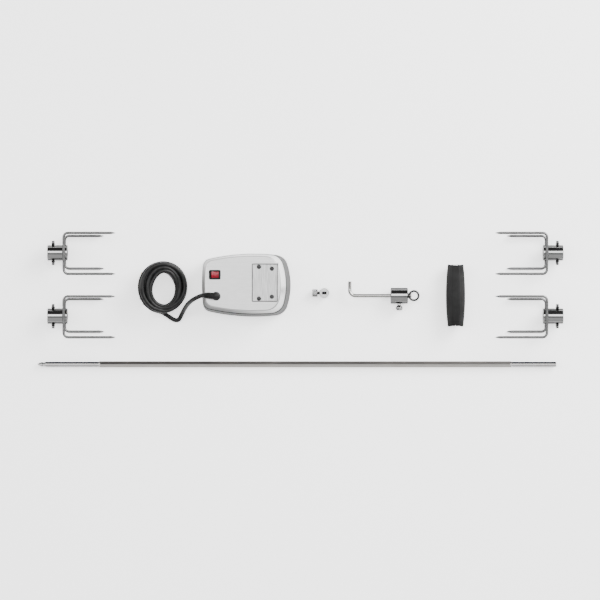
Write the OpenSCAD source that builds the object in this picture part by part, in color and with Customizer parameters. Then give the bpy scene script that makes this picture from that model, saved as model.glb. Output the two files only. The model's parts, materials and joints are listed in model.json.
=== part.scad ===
/* [Layout] */
// Distance from the middle of the laid-out kit to its left and right ends
half_length = 421; // [418:1:440]
/* [Spit] */
// Width of the hexagonal spit bar across its flats
spit_flat = 9.5; // [8.5:0.1:9.6]
// Diameter of the turned round ends of the spit
spit_round_d = 8; // [7:0.1:8.1]
// Length of the spit from its point to its plain end
spit_length = 832; // [800:1:840]
// Length of the round section behind the point
spit_left_round = 85; // [60:1:100]
// Length of the round section at the plain end
spit_right_round = 72; // [50:1:90]
/* [Forks] */
// Outside diameter of a fork hub
hub_d = 24.5; // [22:0.5:26]
// Length of a fork hub
hub_length = 32; // [30:1:36]
// Bore of a fork hub, which slides over the corners of the spit
hub_bore_d = 11.5; // [11.2:0.1:12]
// Thickness of the prong rods
prong_d = 4; // [3.5:0.1:4.5]
// Distance between the two long prongs
long_spread = 65.5; // [60:0.5:70]
// Distance between the two short prongs
short_spread = 52.4; // [46:0.5:56]
// Reach of the long prongs from the cross bar
long_reach = 82.6; // [70:0.2:90]
// Reach of the short prongs from the cross bar
short_reach = 62.8; // [50:0.2:68]
// Roll of a fork about its hub as it lies
fork_roll = 4.7; // [0:0.1:5]
/* [Stop collar] */
// Outside diameter of the stop collar
collar_d = 15.6; // [14.5:0.1:17]
// Height of the stop collar
collar_h = 13; // [12:0.5:16]
/* [Counterbalance] */
// Diameter of the counterbalance weight
weight_d = 25.4; // [24:0.1:30]
// Length of the counterbalance weight
weight_l = 27.5; // [24:0.5:30]
// Thickness of the cranked arm
arm_d = 5.5; // [5:0.1:6]
/* [Handle] */
// Length of the handle grip
handle_l = 100; // [90:1:110]
// Thickness of the grip at its middle
handle_mid_d = 32.6; // [30:0.1:36]
// Thickness of the grip at its ends
handle_end_d = 26.5; // [24:0.1:29]
/* [Motor unit] */
// Width of the motor housing
body_w = 142; // [138:1:150]
// Height of the motor housing as it hangs
body_h = 101; // [98:1:108]
// Depth from the bracket plate to the front face
body_depth = 55; // [54.5:0.1:56]
// Thickness of the sheet metal
sheet = 1.5; // [1.2:0.1:1.8]
/* [Drive] */
// Teeth on the motor pinion
motor_teeth = 10; // [10:1:10]
// Teeth on the large idler wheel
idler_teeth = 40; // [40:2:40]
// Teeth on the small idler pinion
small_teeth = 12; // [12:1:12]
// Teeth on the output gear
output_teeth = 38; // [38:2:38]
// Width across the flats of the drive socket
socket_flat = 9.8; // [9.8:0.1:10.2]
/* [Cord] */
// Diameter of the power cord
cord_d = 7; // [6:0.2:7.6]
// Height of the bundle of turns
coil_h = 19; // [14:1:21]

/* [Hidden] */
$fn = 64;
EPS = 0.01;
FORKS = [1, 2, 3, 4];

// Places on the table, measured from the middle of the kit
spit_y = -104.4;
spit_z = spit_flat / sqrt(3) + EPS;
fork_row_y = [74.2, -27.1];
left_fork_x = -404;
fork_lever = hub_d / 2 + prong_d / 2 - 0.85;
fork_z = fork_lever * cos(fork_roll) + short_spread / 2 * sin(fork_roll) + prong_d / 2;
collar_at = [39, 9.9];
arm_y = 5.6;
arm_corner_x = 79.7;
handle_at = [249, 6];
body_at = [-86, 22.5];
drive_at = [-56, 26.2];

// Spit details
point_len = 13.5;
neck_d = 5.6;
shoulder_len = 3;
// Fork details
bend_r = 7;
point_taper = 7;
bar_x = 26.6;
fork_screw_x = 9;
m5_d = 5;
m5_hole_d = 5.1;
fork_screw_tip = hub_bore_d / 2 + 0.1;
spade_gap = 1.2;
spade_h = 5.4;
spade_w = 13;
spade_t = 3.8;
// Stop collar details
collar_bore_d = 8.2;
knob_d = 11.8;
knob_l = 8.4;
collar_knob_x = 19.6;
collar_screw_z = collar_h / 2;
// Counterbalance details
arm_z = weight_d / 2;
arm_bend_r = 9;
arm_short_end = 28.5;
weight_x = 145.1;
thread_start = weight_x + weight_l - 4;
thread_end = 178.8;
weight_screw_x = 158.9;
eye_x = 182.6;
eye_r = 7.35;
eye_wire_d = 3.4;
eye_boss_d = 8;
weight_knob_d = 10.6;
// Handle details
handle_z = handle_mid_d / 2;
handle_bore_d = 8.2;
sleeve_d = 13;
sleeve_l = 60;
handle_blind = 84;
// Housing levels from the table up
floor_z = 5;
seam_z = 34.5;
seam_gap = 0.8;
face_z = body_depth;
edge_drop = 2;
side_r_left = 300;
side_r_right = 110;
bulge_r = 321;
bulge_x = 12;
corner_r_left = 13;
corner_r_right = 21;
// Insets of the housing outline on its left, right, top and bottom
base_in = [0, 0, 0, 0];
rear_top_in = [0.5, 6, 0.5, 3.6];
rim_in = [1.2, 7.4, 1.2, 4.8];
shoulder_in = [5, 15.2, 4, 9.2];
face_in = [6.4, 16.8, 5.4, 10.8];
// Recess in the front face
pocket = [41.3, 60.8];
pocket_floor_z = 50;
pocket_base_z = 48.5;
plate_t = 3;
plate_gap = 0.3;
plate_holes = [[-9.3, 25.3], [-9.3, -25.3], [11.2, 22.3], [11.2, -22.3]];
plate_head_d = 7;
plate_head_h = 1.8;
plate_head_floor = 0.8;
m3_d = 3;
m3_hole_d = 3.4;
// Housing screws
case_posts = [[-146, 55], [-146, -9], [-44, 62], [-44, -12]];
case_screw_d = 4;
case_head_d = 7.4;
case_head_h = 2.4;
case_screw_l = 44;
post_d = 7;
post_low_z = 38;
// Rocker switch
switch_at = [-135.5, 38.9];
bezel = [18.6, 15.4];
bezel_h = 2;
switch_body = [16.4, 13];
switch_low_z = 41;
rocker_open = [13.6, 10.6];
rocker_w = 10;
rocker_pivot_z = 54;
rocker_tilt = 10;
pivot_d = 2.4;
// Cord boot
boot_at = [-133.3, 4.8];
arm_boot_y = 6.2;
boot_arm_z = 61;
boot_arm_d = 9.6;
boot_end_x = -151;
boot_d = 11.6;
boot_flange_d = 14;
boot_neck_d = 9;
boot_nut_h = 3;
// Gear train
gear_module = 1;
idler_reach = gear_module * (small_teeth + output_teeth) / 2;
motor_reach = gear_module * (motor_teeth + idler_teeth) / 2;
idler_at = drive_at - [idler_reach, 0];
motor_at = idler_at - [motor_reach, 0];
low_plate_z = 30;
high_plate_z = 47;
plate_metal = 2;
motor_d = 48;
motor_ear = 4;
motor_screw_d = 2.9;
axle_d = 4;
shaft_d = 16;
stub_d = 6.8;
low_bush_d = 20;
high_bush_d = 11;
bush_flange_d = 27;
gearbox_post_d = 8;
gearbox_neck_d = 4;
socket_depth = 24;
run = 0.05;
// Bracket plate on the back
hanger = [60, 62];
hanger_channel = 44;
hanger_hole_d = 22;
hanger_head_d = 6;
hanger_head_h = 1.7;
hanger_holes = [[-26, 24], [-26, -24], [26, 24], [26, -24]];
// Cord route from the boot down to the coil, and the coil itself
CORD_ROUTE = [[-151, 6.2, 61], [-156, 5.8, 60.5], [-164, 2.5, 57], [-172, -2, 48], [-179, -8, 34],
    [-185, -16, 19], [-190, -25, 8.5], [-193.5, -31.5, 4.5], [-198, -33.8, 3.7], [-204, -32, 3.6],
    [-211, -27.5, 3.7], [-217, -23.5, 5.5], [-222, -20, 8]];
coil_tilt = 16;
coil_right_x = -183;
coil_y = 19.1;
coil_outer = [41, 42.3];
coil_hole = [19.2, 25];
coil_hole_shift = [2.2, -2.3];
plug_at = [-247.5, 13, 11.3];
plug_size = [20, 28, 22];
plug_boot_l = 10;
blade_l = 16;
blade = [1.5, 6.3];
blade_x = 6.35;
ground_pin_d = 4.8;
ground_pin_z = -7.5;

fork_part = function(i, part) str("fork_", i, "_", part);

// ---- helpers ----
function mix(a, b, t) = a + (b - a) * t;
function unit(v) = v / norm(v);
// Point at parameter t of a Catmull-Rom curve through p1 and p2
function curve_point(p0, p1, p2, p3, t) = 0.5 * (2 * p1 + (p2 - p0) * t
    + (2 * p0 - 5 * p1 + 4 * p2 - p3) * t * t + (3 * p1 - p0 - 3 * p2 + p3) * t * t * t);
function smooth_route(p, steps) = let (n = len(p) - 1) concat(
    [for (i = [0:n - 1]) for (s = [0:steps - 1])
        curve_point(p[max(i - 1, 0)], p[i], p[i + 1], p[min(i + 2, n)], s / steps)], [p[n]]);
function ring(p, dir, d, sides) = let (side = unit(cross(dir, [0, 0, 1])), up = cross(side, dir))
    [for (k = [0:sides - 1]) p + d / 2 * (side * cos(360 * k / sides) + up * sin(360 * k / sides))];

// A round cord swept along a route
module swept_cord(route, d, sides) {
    n = len(route);
    dirs = [for (i = [0:n - 1]) unit(route[min(i + 1, n - 1)] - route[max(i - 1, 0)])];
    points = [for (i = [0:n - 1]) each ring(route[i], dirs[i], d, sides)];
    walls = [for (i = [0:n - 2]) for (k = [0:sides - 1]) let (k2 = (k + 1) % sides)
        each [[i * sides + k, (i + 1) * sides + k, i * sides + k2],
            [i * sides + k2, (i + 1) * sides + k, (i + 1) * sides + k2]]];
    caps = [[for (k = [0:sides - 1]) k], [for (k = [sides - 1:-1:0]) (n - 1) * sides + k]];
    polyhedron(points, concat(walls, caps));
}

module at(p, z = 0) { translate([p[0], p[1], z]) children(); }
module along_x(x = 0) { translate([x, 0, 0]) rotate([0, 90, 0]) children(); }
module along_y(y = 0) { translate([0, y, 0]) rotate([-90, 0, 0]) children(); }

module box_at(size, z0, z1) {
    translate([-size[0] / 2, -size[1] / 2, z0]) cube([size[0], size[1], z1 - z0]);
}

// A round bar along Z whose ends are bevelled
module bevelled_bar(d, h, bevel) {
    rotate_extrude() polygon([[0, 0], [d / 2 - bevel, 0], [d / 2, bevel], [d / 2, h - bevel],
        [d / 2 - bevel, h], [0, h]]);
}

// One spur gear with straight-sided teeth; the middle of a tooth points along +X
module gear_blank(teeth, thick) {
    r = gear_module * teeth / 2;
    pitch = 360 / teeth;
    tip = r + 0.85 * gear_module;
    root = r - 1.1 * gear_module;
    linear_extrude(thick) polygon([for (k = [0:teeth - 1]) each [
        [root * cos((k - 0.34) * pitch), root * sin((k - 0.34) * pitch)],
        [tip * cos((k - 0.1) * pitch), tip * sin((k - 0.1) * pitch)],
        [tip * cos((k + 0.1) * pitch), tip * sin((k + 0.1) * pitch)],
        [root * cos((k + 0.34) * pitch), root * sin((k + 0.34) * pitch)]]]);
}

// ---- spit ----
module spit_rod() {
    hex_from = point_len + spit_left_round;
    hex_to = spit_length - spit_right_round;
    corner_r = spit_flat / sqrt(3);
    round_r = spit_round_d / 2;
    color("silver") translate([-half_length, spit_y, spit_z]) rotate([0, 90, 0]) {
        intersection() {
            translate([0, 0, hex_from]) cylinder(r = corner_r, h = hex_to - hex_from, $fn = 6);
            translate([0, 0, hex_from]) rotate_extrude() polygon([[0, 0], [round_r, 0],
                [corner_r + 1, corner_r + 1 - round_r + 1], [corner_r + 1, hex_to - hex_from - 3],
                [round_r, hex_to - hex_from], [0, hex_to - hex_from]]);
        }
        rotate_extrude() polygon([[0, 0], [0.8, 0.4], [2.4, 3], [3.4, 6.5], [neck_d / 2 + 0.9, 8],
            [neck_d / 2, 8.6], [neck_d / 2, point_len - shoulder_len], [round_r, point_len],
            [round_r, hex_from + EPS], [0, hex_from + EPS]]);
        translate([0, 0, hex_to - EPS]) rotate_extrude() polygon([[0, 0], [round_r, 0],
            [round_r, spit_right_round - 0.6], [round_r - 0.6, spit_right_round], [0, spit_right_round]]);
    }
}

// ---- forks ----
// Forks 1 and 2 lie on the left with their prongs to the right; 3 and 4 face them from the right.
// Every fork's upper cross bar leans towards the spit.
module place_fork(i) {
    row = (i + 1) % 2;
    right = i > 2;
    translate([right ? half_length : left_fork_x, fork_row_y[row], fork_z])
        rotate([0, 0, right ? 180 : 0]) rotate([right ? -fork_roll : fork_roll, 0, 0]) children();
}

// A rod bent into a U: a cross bar along Y and two pointed prongs along +X
module prong_rod(spread, reach) {
    half = spread / 2;
    straight = reach - bend_r - point_taper;
    along_y(-half + bend_r) cylinder(d = prong_d, h = spread - 2 * bend_r);
    for (side = [-1, 1]) {
        translate([bend_r, side * (half - bend_r), 0]) rotate([0, 0, side > 0 ? 90 : 180])
            rotate_extrude(angle = 90) translate([bend_r, 0]) circle(d = prong_d, $fn = 32);
        translate([bend_r, side * half, 0]) rotate([0, 90, 0]) rotate_extrude() polygon([[0, 0],
            [prong_d / 2, 0], [prong_d / 2, straight], [prong_d / 4, straight + point_taper * 0.7],
            [0.3, straight + point_taper], [0, straight + point_taper]]);
    }
}

module fork_hub(i) {
    color("gainsboro") place_fork(i) difference() {
        along_x() bevelled_bar(hub_d, hub_length, 0.6);
        along_x(-1) cylinder(d = hub_bore_d, h = hub_length + 2);
        translate([fork_screw_x, 0, 0]) along_y(-hub_d) cylinder(d = m5_hole_d, h = 2 * hub_d);
        for (side = [-1, 1]) translate([bar_x, 0, side * fork_lever])
            along_y(-hub_d / 2) cylinder(d = prong_d + 0.02, h = hub_d);
    }
}

module fork_long_prongs(i) {
    color("darkgray") place_fork(i) translate([bar_x, 0, fork_lever]) prong_rod(long_spread, long_reach);
}

module fork_short_prongs(i) {
    color("darkgray") place_fork(i) translate([bar_x, 0, -fork_lever]) prong_rod(short_spread, short_reach);
}

// Spade-headed screw pointing at the bore from one side of the hub
module fork_screw(i, side) {
    head_from = hub_d / 2 + spade_gap;
    color("silver") place_fork(i) translate([fork_screw_x, 0, 0]) rotate([0, 0, side > 0 ? 0 : 180]) {
        along_y(fork_screw_tip) cylinder(d = m5_d, h = head_from - fork_screw_tip + 1);
        translate([-spade_t / 2, head_from, 0]) rotate([90, 0, 90]) linear_extrude(spade_t) {
            square([m5_d, 2], center = true);
            for (end = [-1, 1]) translate([spade_h / 2, end * (spade_w - spade_h) / 2]) circle(d = spade_h);
            translate([0, -(spade_w - spade_h) / 2]) square([spade_h, spade_w - spade_h]);
        }
    }
}

// ---- stop collar ----
module stop_collar() {
    color("gainsboro") at(collar_at) difference() {
        bevelled_bar(collar_d, collar_h, 0.6);
        translate([0, 0, -1]) cylinder(d = collar_bore_d, h = collar_h + 2);
        translate([0, 0, collar_screw_z]) along_x(-collar_d) cylinder(d = m5_hole_d, h = collar_d);
    }
}

module collar_screw() {
    tip_x = collar_at[0] + collar_bore_d / 2 - 1.2;
    color("silver") translate([collar_knob_x, collar_at[1], collar_screw_z]) rotate([0, 90, 0]) {
        bevelled_bar(knob_d, knob_l, 1);
        translate([0, 0, knob_l - 1]) cylinder(d = m5_d, h = tip_x - collar_knob_x - knob_l + 1);
    }
}

// ---- counterbalance ----
module balance_arm() {
    from_x = arm_corner_x + arm_bend_r;
    from_y = arm_y + arm_bend_r;
    color("lightgray") translate([0, 0, arm_z]) {
        translate([arm_corner_x, 0, 0]) along_y(from_y) bevelled_bar(arm_d, arm_short_end - from_y, 0.4);
        translate([arm_corner_x, from_y - 1, 0]) along_y() cylinder(d = arm_d, h = 2);
        translate([from_x, from_y, 0]) rotate([0, 0, 180]) rotate_extrude(angle = 90)
            translate([arm_bend_r, 0]) circle(d = arm_d, $fn = 32);
        translate([0, arm_y, 0]) {
            along_x(from_x) cylinder(d = arm_d, h = thread_start - from_x);
            along_x(thread_start - 1) bevelled_bar(m5_d, thread_end - thread_start + 1, 0.4);
        }
    }
}

module balance_weight() {
    color("gainsboro") translate([weight_x, arm_y, arm_z]) difference() {
        along_x() bevelled_bar(weight_d, weight_l, 0.8);
        along_x(-1) cylinder(d = arm_d + 2 * run, h = weight_l + 2);
        translate([weight_screw_x - weight_x, 0, 0]) along_y(-weight_d)
            cylinder(d = m5_hole_d, h = weight_d);
    }
}

module weight_screw() {
    neck = 2.8;
    head = 8;
    color("silver") translate([weight_screw_x, arm_y - weight_d / 2, arm_z]) rotate([90, 0, 0]) {
        translate([0, 0, -weight_d / 2 + arm_d / 2 + 0.4])
            cylinder(d = m5_d, h = neck + 1 + weight_d / 2 - arm_d / 2 - 0.4);
        translate([0, 0, neck]) rotate_extrude() polygon([[0, 0], [m5_d / 2, 0], [weight_knob_d / 2, 3],
            [weight_knob_d / 2, head - 2.2], [weight_knob_d / 2 - 2.2, head], [0, head]]);
    }
}

module balance_eye() {
    boss_from = weight_x + weight_l + 0.3;
    color("dimgray") translate([0, arm_y, arm_z]) difference() {
        union() {
            translate([eye_x, 0, 0]) rotate_extrude() translate([eye_r, 0]) circle(d = eye_wire_d, $fn = 32);
            along_x(boss_from) cylinder(d = eye_boss_d, h = eye_x - eye_r - boss_from + 1);
        }
        along_x(boss_from - 1) cylinder(d = m5_hole_d, h = thread_end - boss_from + 3);
    }
}

// ---- handle ----
module place_handle() {
    translate([handle_at[0], handle_at[1], handle_z]) rotate([-90, 0, 0]) children();
}

// Barrel-shaped grip with eight soft flats
module handle_grip() {
    half = handle_l / 2;
    radius = function(t) handle_end_d / 2 + (handle_mid_d - handle_end_d) / 2 * (1 - t * t);
    color("black") place_handle() difference() {
        rotate([0, 0, 22.5]) rotate_extrude($fn = 24) polygon(concat([[0, -half + 1.2], [radius(1) - 4, -half]],
            [for (k = [-10:10]) [radius(k / 10), k / 10 * (half - 0.8)]],
            [[radius(1) - 4, half], [0, half - 1.2]]));
        translate([0, 0, half - sleeve_l]) cylinder(d = sleeve_d + 0.02, h = sleeve_l + 1);
        translate([0, 0, half - handle_blind]) cylinder(d = handle_bore_d, h = handle_blind);
    }
}

module handle_sleeve() {
    color("silver") place_handle() translate([0, 0, handle_l / 2 - sleeve_l]) difference() {
        cylinder(d = sleeve_d, h = sleeve_l - 0.6);
        translate([0, 0, -1]) cylinder(d = handle_bore_d, h = sleeve_l + 2);
    }
}

// ---- housing ----
// Outline of the housing drawn in from its widest size on the left, right, top and bottom
module outline(inset) {
    left = -body_w / 2 + inset[0];
    right = body_w / 2 - inset[1];
    top = body_h / 2 - inset[2];
    bottom = -body_h / 2 + inset[3];
    for (side = [-1, 1]) intersection() {
        offset(r = side < 0 ? corner_r_left : corner_r_right)
            offset(delta = side < 0 ? -corner_r_left : -corner_r_right) intersection() {
                translate([left + side_r_left, 0]) circle(r = side_r_left, $fn = 360);
                translate([right - side_r_right, 0]) circle(r = side_r_right, $fn = 180);
                translate([bulge_x, top - bulge_r]) circle(r = bulge_r, $fn = 360);
                translate([bulge_x, bottom + bulge_r]) circle(r = bulge_r, $fn = 360);
            }
        translate([side < 0 ? -body_w : -EPS, -body_h]) square([body_w + EPS, 2 * body_h]);
    }
}

// Tapered block between two levels of the housing
module taper(z0, in0, z1, in1) {
    hull() {
        at(body_at, z0) linear_extrude(EPS) outline(in0);
        at(body_at, z1 - EPS) linear_extrude(EPS) outline(in1);
    }
}

module rear_housing() {
    wall = [sheet, sheet, sheet, sheet];
    color("gray") difference() {
        taper(floor_z, base_in, seam_z, rear_top_in);
        taper(floor_z + sheet, base_in + wall, seam_z + 1, rear_top_in + wall);
        at(drive_at, floor_z - 1) cylinder(d = hanger_hole_d, h = sheet + 2);
        for (p = case_posts) at(p, floor_z - 1) cylinder(d = case_screw_d + 0.2, h = sheet + 2);
        for (p = hanger_holes) at(drive_at + p, floor_z - 1) cylinder(d = m3_d, h = sheet + 2);
    }
}

module front_cover() {
    wall = [sheet, sheet, sheet, sheet];
    rim_z = seam_z + seam_gap;
    color("silver") difference() {
        union() {
            difference() {
                union() {
                    taper(rim_z, rim_in, face_z - edge_drop, shoulder_in);
                    taper(face_z - edge_drop - EPS, shoulder_in, face_z, face_in);
                }
                taper(rim_z - 1, rim_in + wall, face_z - sheet, shoulder_in + wall);
            }
            at(drive_at) box_at(pocket + [2 * sheet, 2 * sheet], pocket_base_z, face_z - EPS);
            for (p = case_posts) at(p, post_low_z) cylinder(d = post_d, h = face_z - sheet - post_low_z);
        }
        at(drive_at) box_at(pocket, pocket_floor_z, face_z + 1);
        at(switch_at) box_at(switch_body + [0.2, 0.2], face_z - sheet - 1, face_z + 1);
        at(boot_at, face_z - sheet - 1) cylinder(d = boot_neck_d + 0.2, h = sheet + 2);
        for (p = plate_holes) at(drive_at + p, pocket_base_z - 1) cylinder(d = m3_hole_d, h = 4);
        for (p = case_posts) at(p, post_low_z - 1) cylinder(d = case_screw_d + 0.02, h = 11);
    }
}

// Rubber ring squeezed between the two halves of the housing
module case_gasket() {
    outer = rear_top_in + [0.4, 0.4, 0.4, 0.4];
    inner = rim_in + [2, 2, 2, 2];
    color("black") at(body_at, seam_z) linear_extrude(seam_gap) difference() {
        outline(outer);
        outline(inner);
    }
}

module drive_cover_plate() {
    color("silver") at(drive_at) difference() {
        box_at(pocket - [2 * plate_gap, 2 * plate_gap], pocket_floor_z, pocket_floor_z + plate_t);
        for (p = plate_holes) at(p, pocket_floor_z - 1) {
            cylinder(d = m3_hole_d, h = plate_t + 2);
            translate([0, 0, plate_head_floor + 1]) cylinder(d = plate_head_d + 0.4, h = plate_t);
        }
    }
}

module cover_plate_screws() {
    shank = 10;
    head_z = pocket_floor_z + plate_head_floor;
    color("dimgray") for (p = plate_holes) at(drive_at + p, head_z) difference() {
        union() {
            cylinder(d = plate_head_d, h = plate_head_h);
            translate([0, 0, -shank]) cylinder(d = m3_d, h = shank + 0.5);
        }
        translate([0, 0, 1]) for (turn = [0, 90]) rotate([0, 0, turn]) box_at([4, 1], 0, 2);
    }
}

module case_screws() {
    color("dimgray") for (p = case_posts) at(p, floor_z - case_head_h) {
        cylinder(d = case_head_d, h = case_head_h);
        cylinder(d = case_screw_d, h = case_screw_l);
    }
}

// ---- switch ----
module switch_case() {
    color("black") at(switch_at) difference() {
        union() {
            box_at(bezel, face_z, face_z + bezel_h);
            box_at(switch_body, switch_low_z, face_z + EPS);
        }
        box_at(rocker_open, switch_low_z + 6.5, face_z + bezel_h + 1);
        translate([0, 0, rocker_pivot_z]) along_y(-rocker_open[1] / 2 - 0.8)
            cylinder(d = pivot_d + 2 * run, h = rocker_open[1] + 1.6, $fn = 32);
    }
}

// See-through rocker, tipped to its off position
module switch_rocker() {
    color([0.75, 0.1, 0.12, 0.85]) at(switch_at, rocker_pivot_z) rotate([0, rocker_tilt, 0]) {
        translate([0, rocker_w / 2, 0]) rotate([90, 0, 0]) linear_extrude(rocker_w)
            polygon([[-6, -1], [-6, 3.6], [0, 2.7], [6, 3.6], [6, -1], [2.6, -4], [-2.6, -4]]);
        along_y(-rocker_w / 2 - 0.8) cylinder(d = pivot_d, h = rocker_w + 1.6, $fn = 32);
    }
}

module switch_terminals() {
    color("gold") at(switch_at) for (x = [-5, 0, 5]) translate([x, 0, 0])
        box_at([0.8, 4.8], switch_low_z - 6, switch_low_z);
}

// ---- cord boot ----
module cord_boot() {
    color("black") {
        at(boot_at, face_z) bevelled_bar(boot_flange_d, 1.6, 0.5);
        at(boot_at, face_z - 6) cylinder(d = boot_neck_d, h = 8);
        at(boot_at, face_z + 1) cylinder(d = boot_d, h = boot_arm_z - face_z - 1);
        at(boot_at, boot_arm_z) sphere(d = boot_d);
        translate([boot_end_x, arm_boot_y, boot_arm_z])
            along_x() cylinder(d1 = 8.6, d2 = boot_arm_d, h = boot_at[0] - boot_end_x);
    }
}

module boot_nut() {
    color("dimgray") at(boot_at, face_z - sheet - boot_nut_h) difference() {
        cylinder(d = boot_neck_d + 7, h = boot_nut_h, $fn = 6);
        translate([0, 0, -1]) cylinder(d = boot_neck_d + 0.02, h = boot_nut_h + 2);
    }
}

// ---- drive ----
module gear_motor() {
    color("dimgray") at(motor_at) difference() {
        union() {
            translate([0, 0, floor_z + sheet + 1]) bevelled_bar(motor_d, low_plate_z - floor_z - sheet - 1, 1);
            box_at([14, motor_d + 4 * motor_ear], low_plate_z - 2, low_plate_z);
        }
        translate([0, 0, low_plate_z - 12]) cylinder(d = axle_d + 2 * run, h = 14);
        for (side = [-1, 1]) translate([0, side * (motor_d / 2 + motor_ear), low_plate_z - 3])
            cylinder(d = motor_screw_d, h = 4);
    }
}

module motor_screws() {
    color("silver") at(motor_at) for (side = [-1, 1])
        translate([0, side * (motor_d / 2 + motor_ear), low_plate_z - 4]) {
            cylinder(d = motor_screw_d, h = 7);
            translate([0, 0, 6]) cylinder(d = 5.6, h = 1.8);
        }
}

module motor_pinion() {
    color("tan") at(motor_at, low_plate_z + 3) gear_blank(motor_teeth, 6);
    color("silver") at(motor_at, low_plate_z - 11.5) cylinder(d = axle_d, h = 20);
}

module idler_gear() {
    color("tan") at(idler_at, low_plate_z + 3) difference() {
        union() {
            rotate([0, 0, 180 / idler_teeth]) gear_blank(idler_teeth, 4);
            gear_blank(small_teeth, 12);
        }
        translate([0, 0, -1]) cylinder(d = axle_d + 2 * run, h = 14);
    }
}

module idler_axle() {
    color("silver") at(idler_at, low_plate_z) cylinder(d = axle_d, h = high_plate_z + 1.4 - low_plate_z);
}

module output_gear() {
    color("tan") at(drive_at, low_plate_z + 8) difference() {
        union() {
            rotate([0, 0, 180 / output_teeth]) gear_blank(output_teeth, 6);
            cylinder(d = 14, h = 7.5);
        }
        translate([0, 0, -1]) cylinder(d = stub_d + 0.02, h = 10);
    }
}

module output_shaft() {
    color("silver") at(drive_at, 0.6) difference() {
        union() {
            bevelled_bar(shaft_d, low_plate_z + 2, 0.6);
            cylinder(d = stub_d, h = high_plate_z + 0.8);
        }
        translate([0, 0, -1]) cylinder(r = socket_flat / sqrt(3), h = socket_depth + 1, $fn = 6);
    }
}

module shaft_bushes() {
    color("goldenrod") at(drive_at) {
        difference() {
            union() {
                translate([0, 0, floor_z]) cylinder(d = hanger_hole_d - 0.02, h = 7);
                translate([0, 0, floor_z + sheet]) cylinder(d = bush_flange_d, h = 1.5);
            }
            translate([0, 0, 1]) cylinder(d = shaft_d + 2 * run, h = 20);
        }
        translate([0, 0, low_plate_z - 2]) difference() {
            cylinder(d = low_bush_d, h = 4.4);
            translate([0, 0, -1]) cylinder(d = shaft_d + 2 * run, h = 7);
        }
        translate([0, 0, high_plate_z - 1]) difference() {
            cylinder(d = high_bush_d, h = 2.4);
            translate([0, 0, -1]) cylinder(d = stub_d + 2 * run, h = 4);
        }
    }
}

module lower_gear_plate() {
    color("lightgray") difference() {
        translate([-128, -2, low_plate_z]) cube([90, 56.5, plate_metal]);
        at(drive_at, low_plate_z - 1) cylinder(d = low_bush_d + 0.02, h = 4);
        at(motor_at, low_plate_z - 1) cylinder(d = 10, h = 4);
        at(idler_at, low_plate_z - 1) cylinder(d = axle_d + 0.02, h = 4);
        for (side = [-1, 1]) at(motor_at + [0, side * (motor_d / 2 + motor_ear)], low_plate_z - 1)
            cylinder(d = motor_screw_d + 0.1, h = 4);
        for (p = plate_holes) at(drive_at + p, low_plate_z - 1) cylinder(d = gearbox_neck_d + 0.02, h = 4);
    }
}

module upper_gear_plate() {
    color("lightgray") difference() {
        translate([-90, -4.5, high_plate_z]) cube([52, 61.5, pocket_base_z - high_plate_z]);
        at(drive_at, high_plate_z - 1) cylinder(d = high_bush_d + 0.02, h = 4);
        at(idler_at, high_plate_z - 1) cylinder(d = axle_d + 0.02, h = 4);
        for (p = plate_holes) at(drive_at + p, high_plate_z - 1) cylinder(d = m3_hole_d, h = 4);
    }
}

module gearbox_posts() {
    low = floor_z + sheet;
    upper_from = low_plate_z + plate_metal;
    color("silver") for (p = plate_holes) at(drive_at + p) difference() {
        union() {
            translate([0, 0, low]) cylinder(d = gearbox_post_d, h = low_plate_z - low);
            translate([0, 0, low_plate_z - 1]) cylinder(d = gearbox_neck_d, h = 4);
            translate([0, 0, upper_from]) cylinder(d = gearbox_post_d - 1.6, h = high_plate_z - upper_from);
        }
        translate([0, 0, high_plate_z - 8]) cylinder(d = m3_d + 0.02, h = 9);
    }
}

// Folded plate on the back whose channel slides over the grill's motor bracket
module hanger_plate() {
    rail_w = (hanger[0] - hanger_channel) / 2;
    color("lightgray") at(drive_at) difference() {
        union() {
            box_at(hanger, 0, sheet);
            for (side = [-1, 1]) translate([side * (hanger[0] - rail_w) / 2, 0, 0])
                box_at([rail_w, hanger[1]], 0, floor_z);
            translate([0, (hanger[1] - rail_w) / 2, 0]) box_at([hanger[0], rail_w], 0, floor_z);
        }
        translate([0, 0, -1]) cylinder(d = hanger_hole_d, h = floor_z + 2);
        for (p = hanger_holes) at(p, -1) {
            cylinder(d = m3_d + 0.2, h = floor_z + 2);
            cylinder(d = hanger_head_d + 0.4, h = 3);
        }
    }
}

module hanger_screws() {
    color("dimgray") for (p = hanger_holes) at(drive_at + p, 0.3) {
        cylinder(d = hanger_head_d, h = hanger_head_h);
        cylinder(d = m3_d, h = floor_z + sheet + 2);
    }
}

module wire_leads() {
    drop = low_plate_z + 5;
    for (k = [-1, 0, 1]) {
        from = [boot_at[0] + k * 2, boot_at[1], face_z - 6];
        mid = [boot_at[0] + k * 2.4 - 6, boot_at[1] + 16, drop + 5 + k];
        to = [switch_at[0] + k * 5, switch_at[1] - 1, switch_low_z - 6];
        color(k < 0 ? "black" : k > 0 ? "white" : "green")
            swept_cord(smooth_route([from, from + [-1, 3, -4], mid, to + [0, -4, -3], to], 3), 2, 8);
    }
}

// ---- cord ----
module power_cord() {
    color([0.08, 0.08, 0.08]) swept_cord(smooth_route(CORD_ROUTE, 3), cord_d, 10);
}

module ellipse_2d(radii, inset) {
    polygon([for (k = [0:47]) [(radii[0] - inset) * cos(7.5 * k), (radii[1] - inset) * sin(7.5 * k)]]);
}

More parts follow.
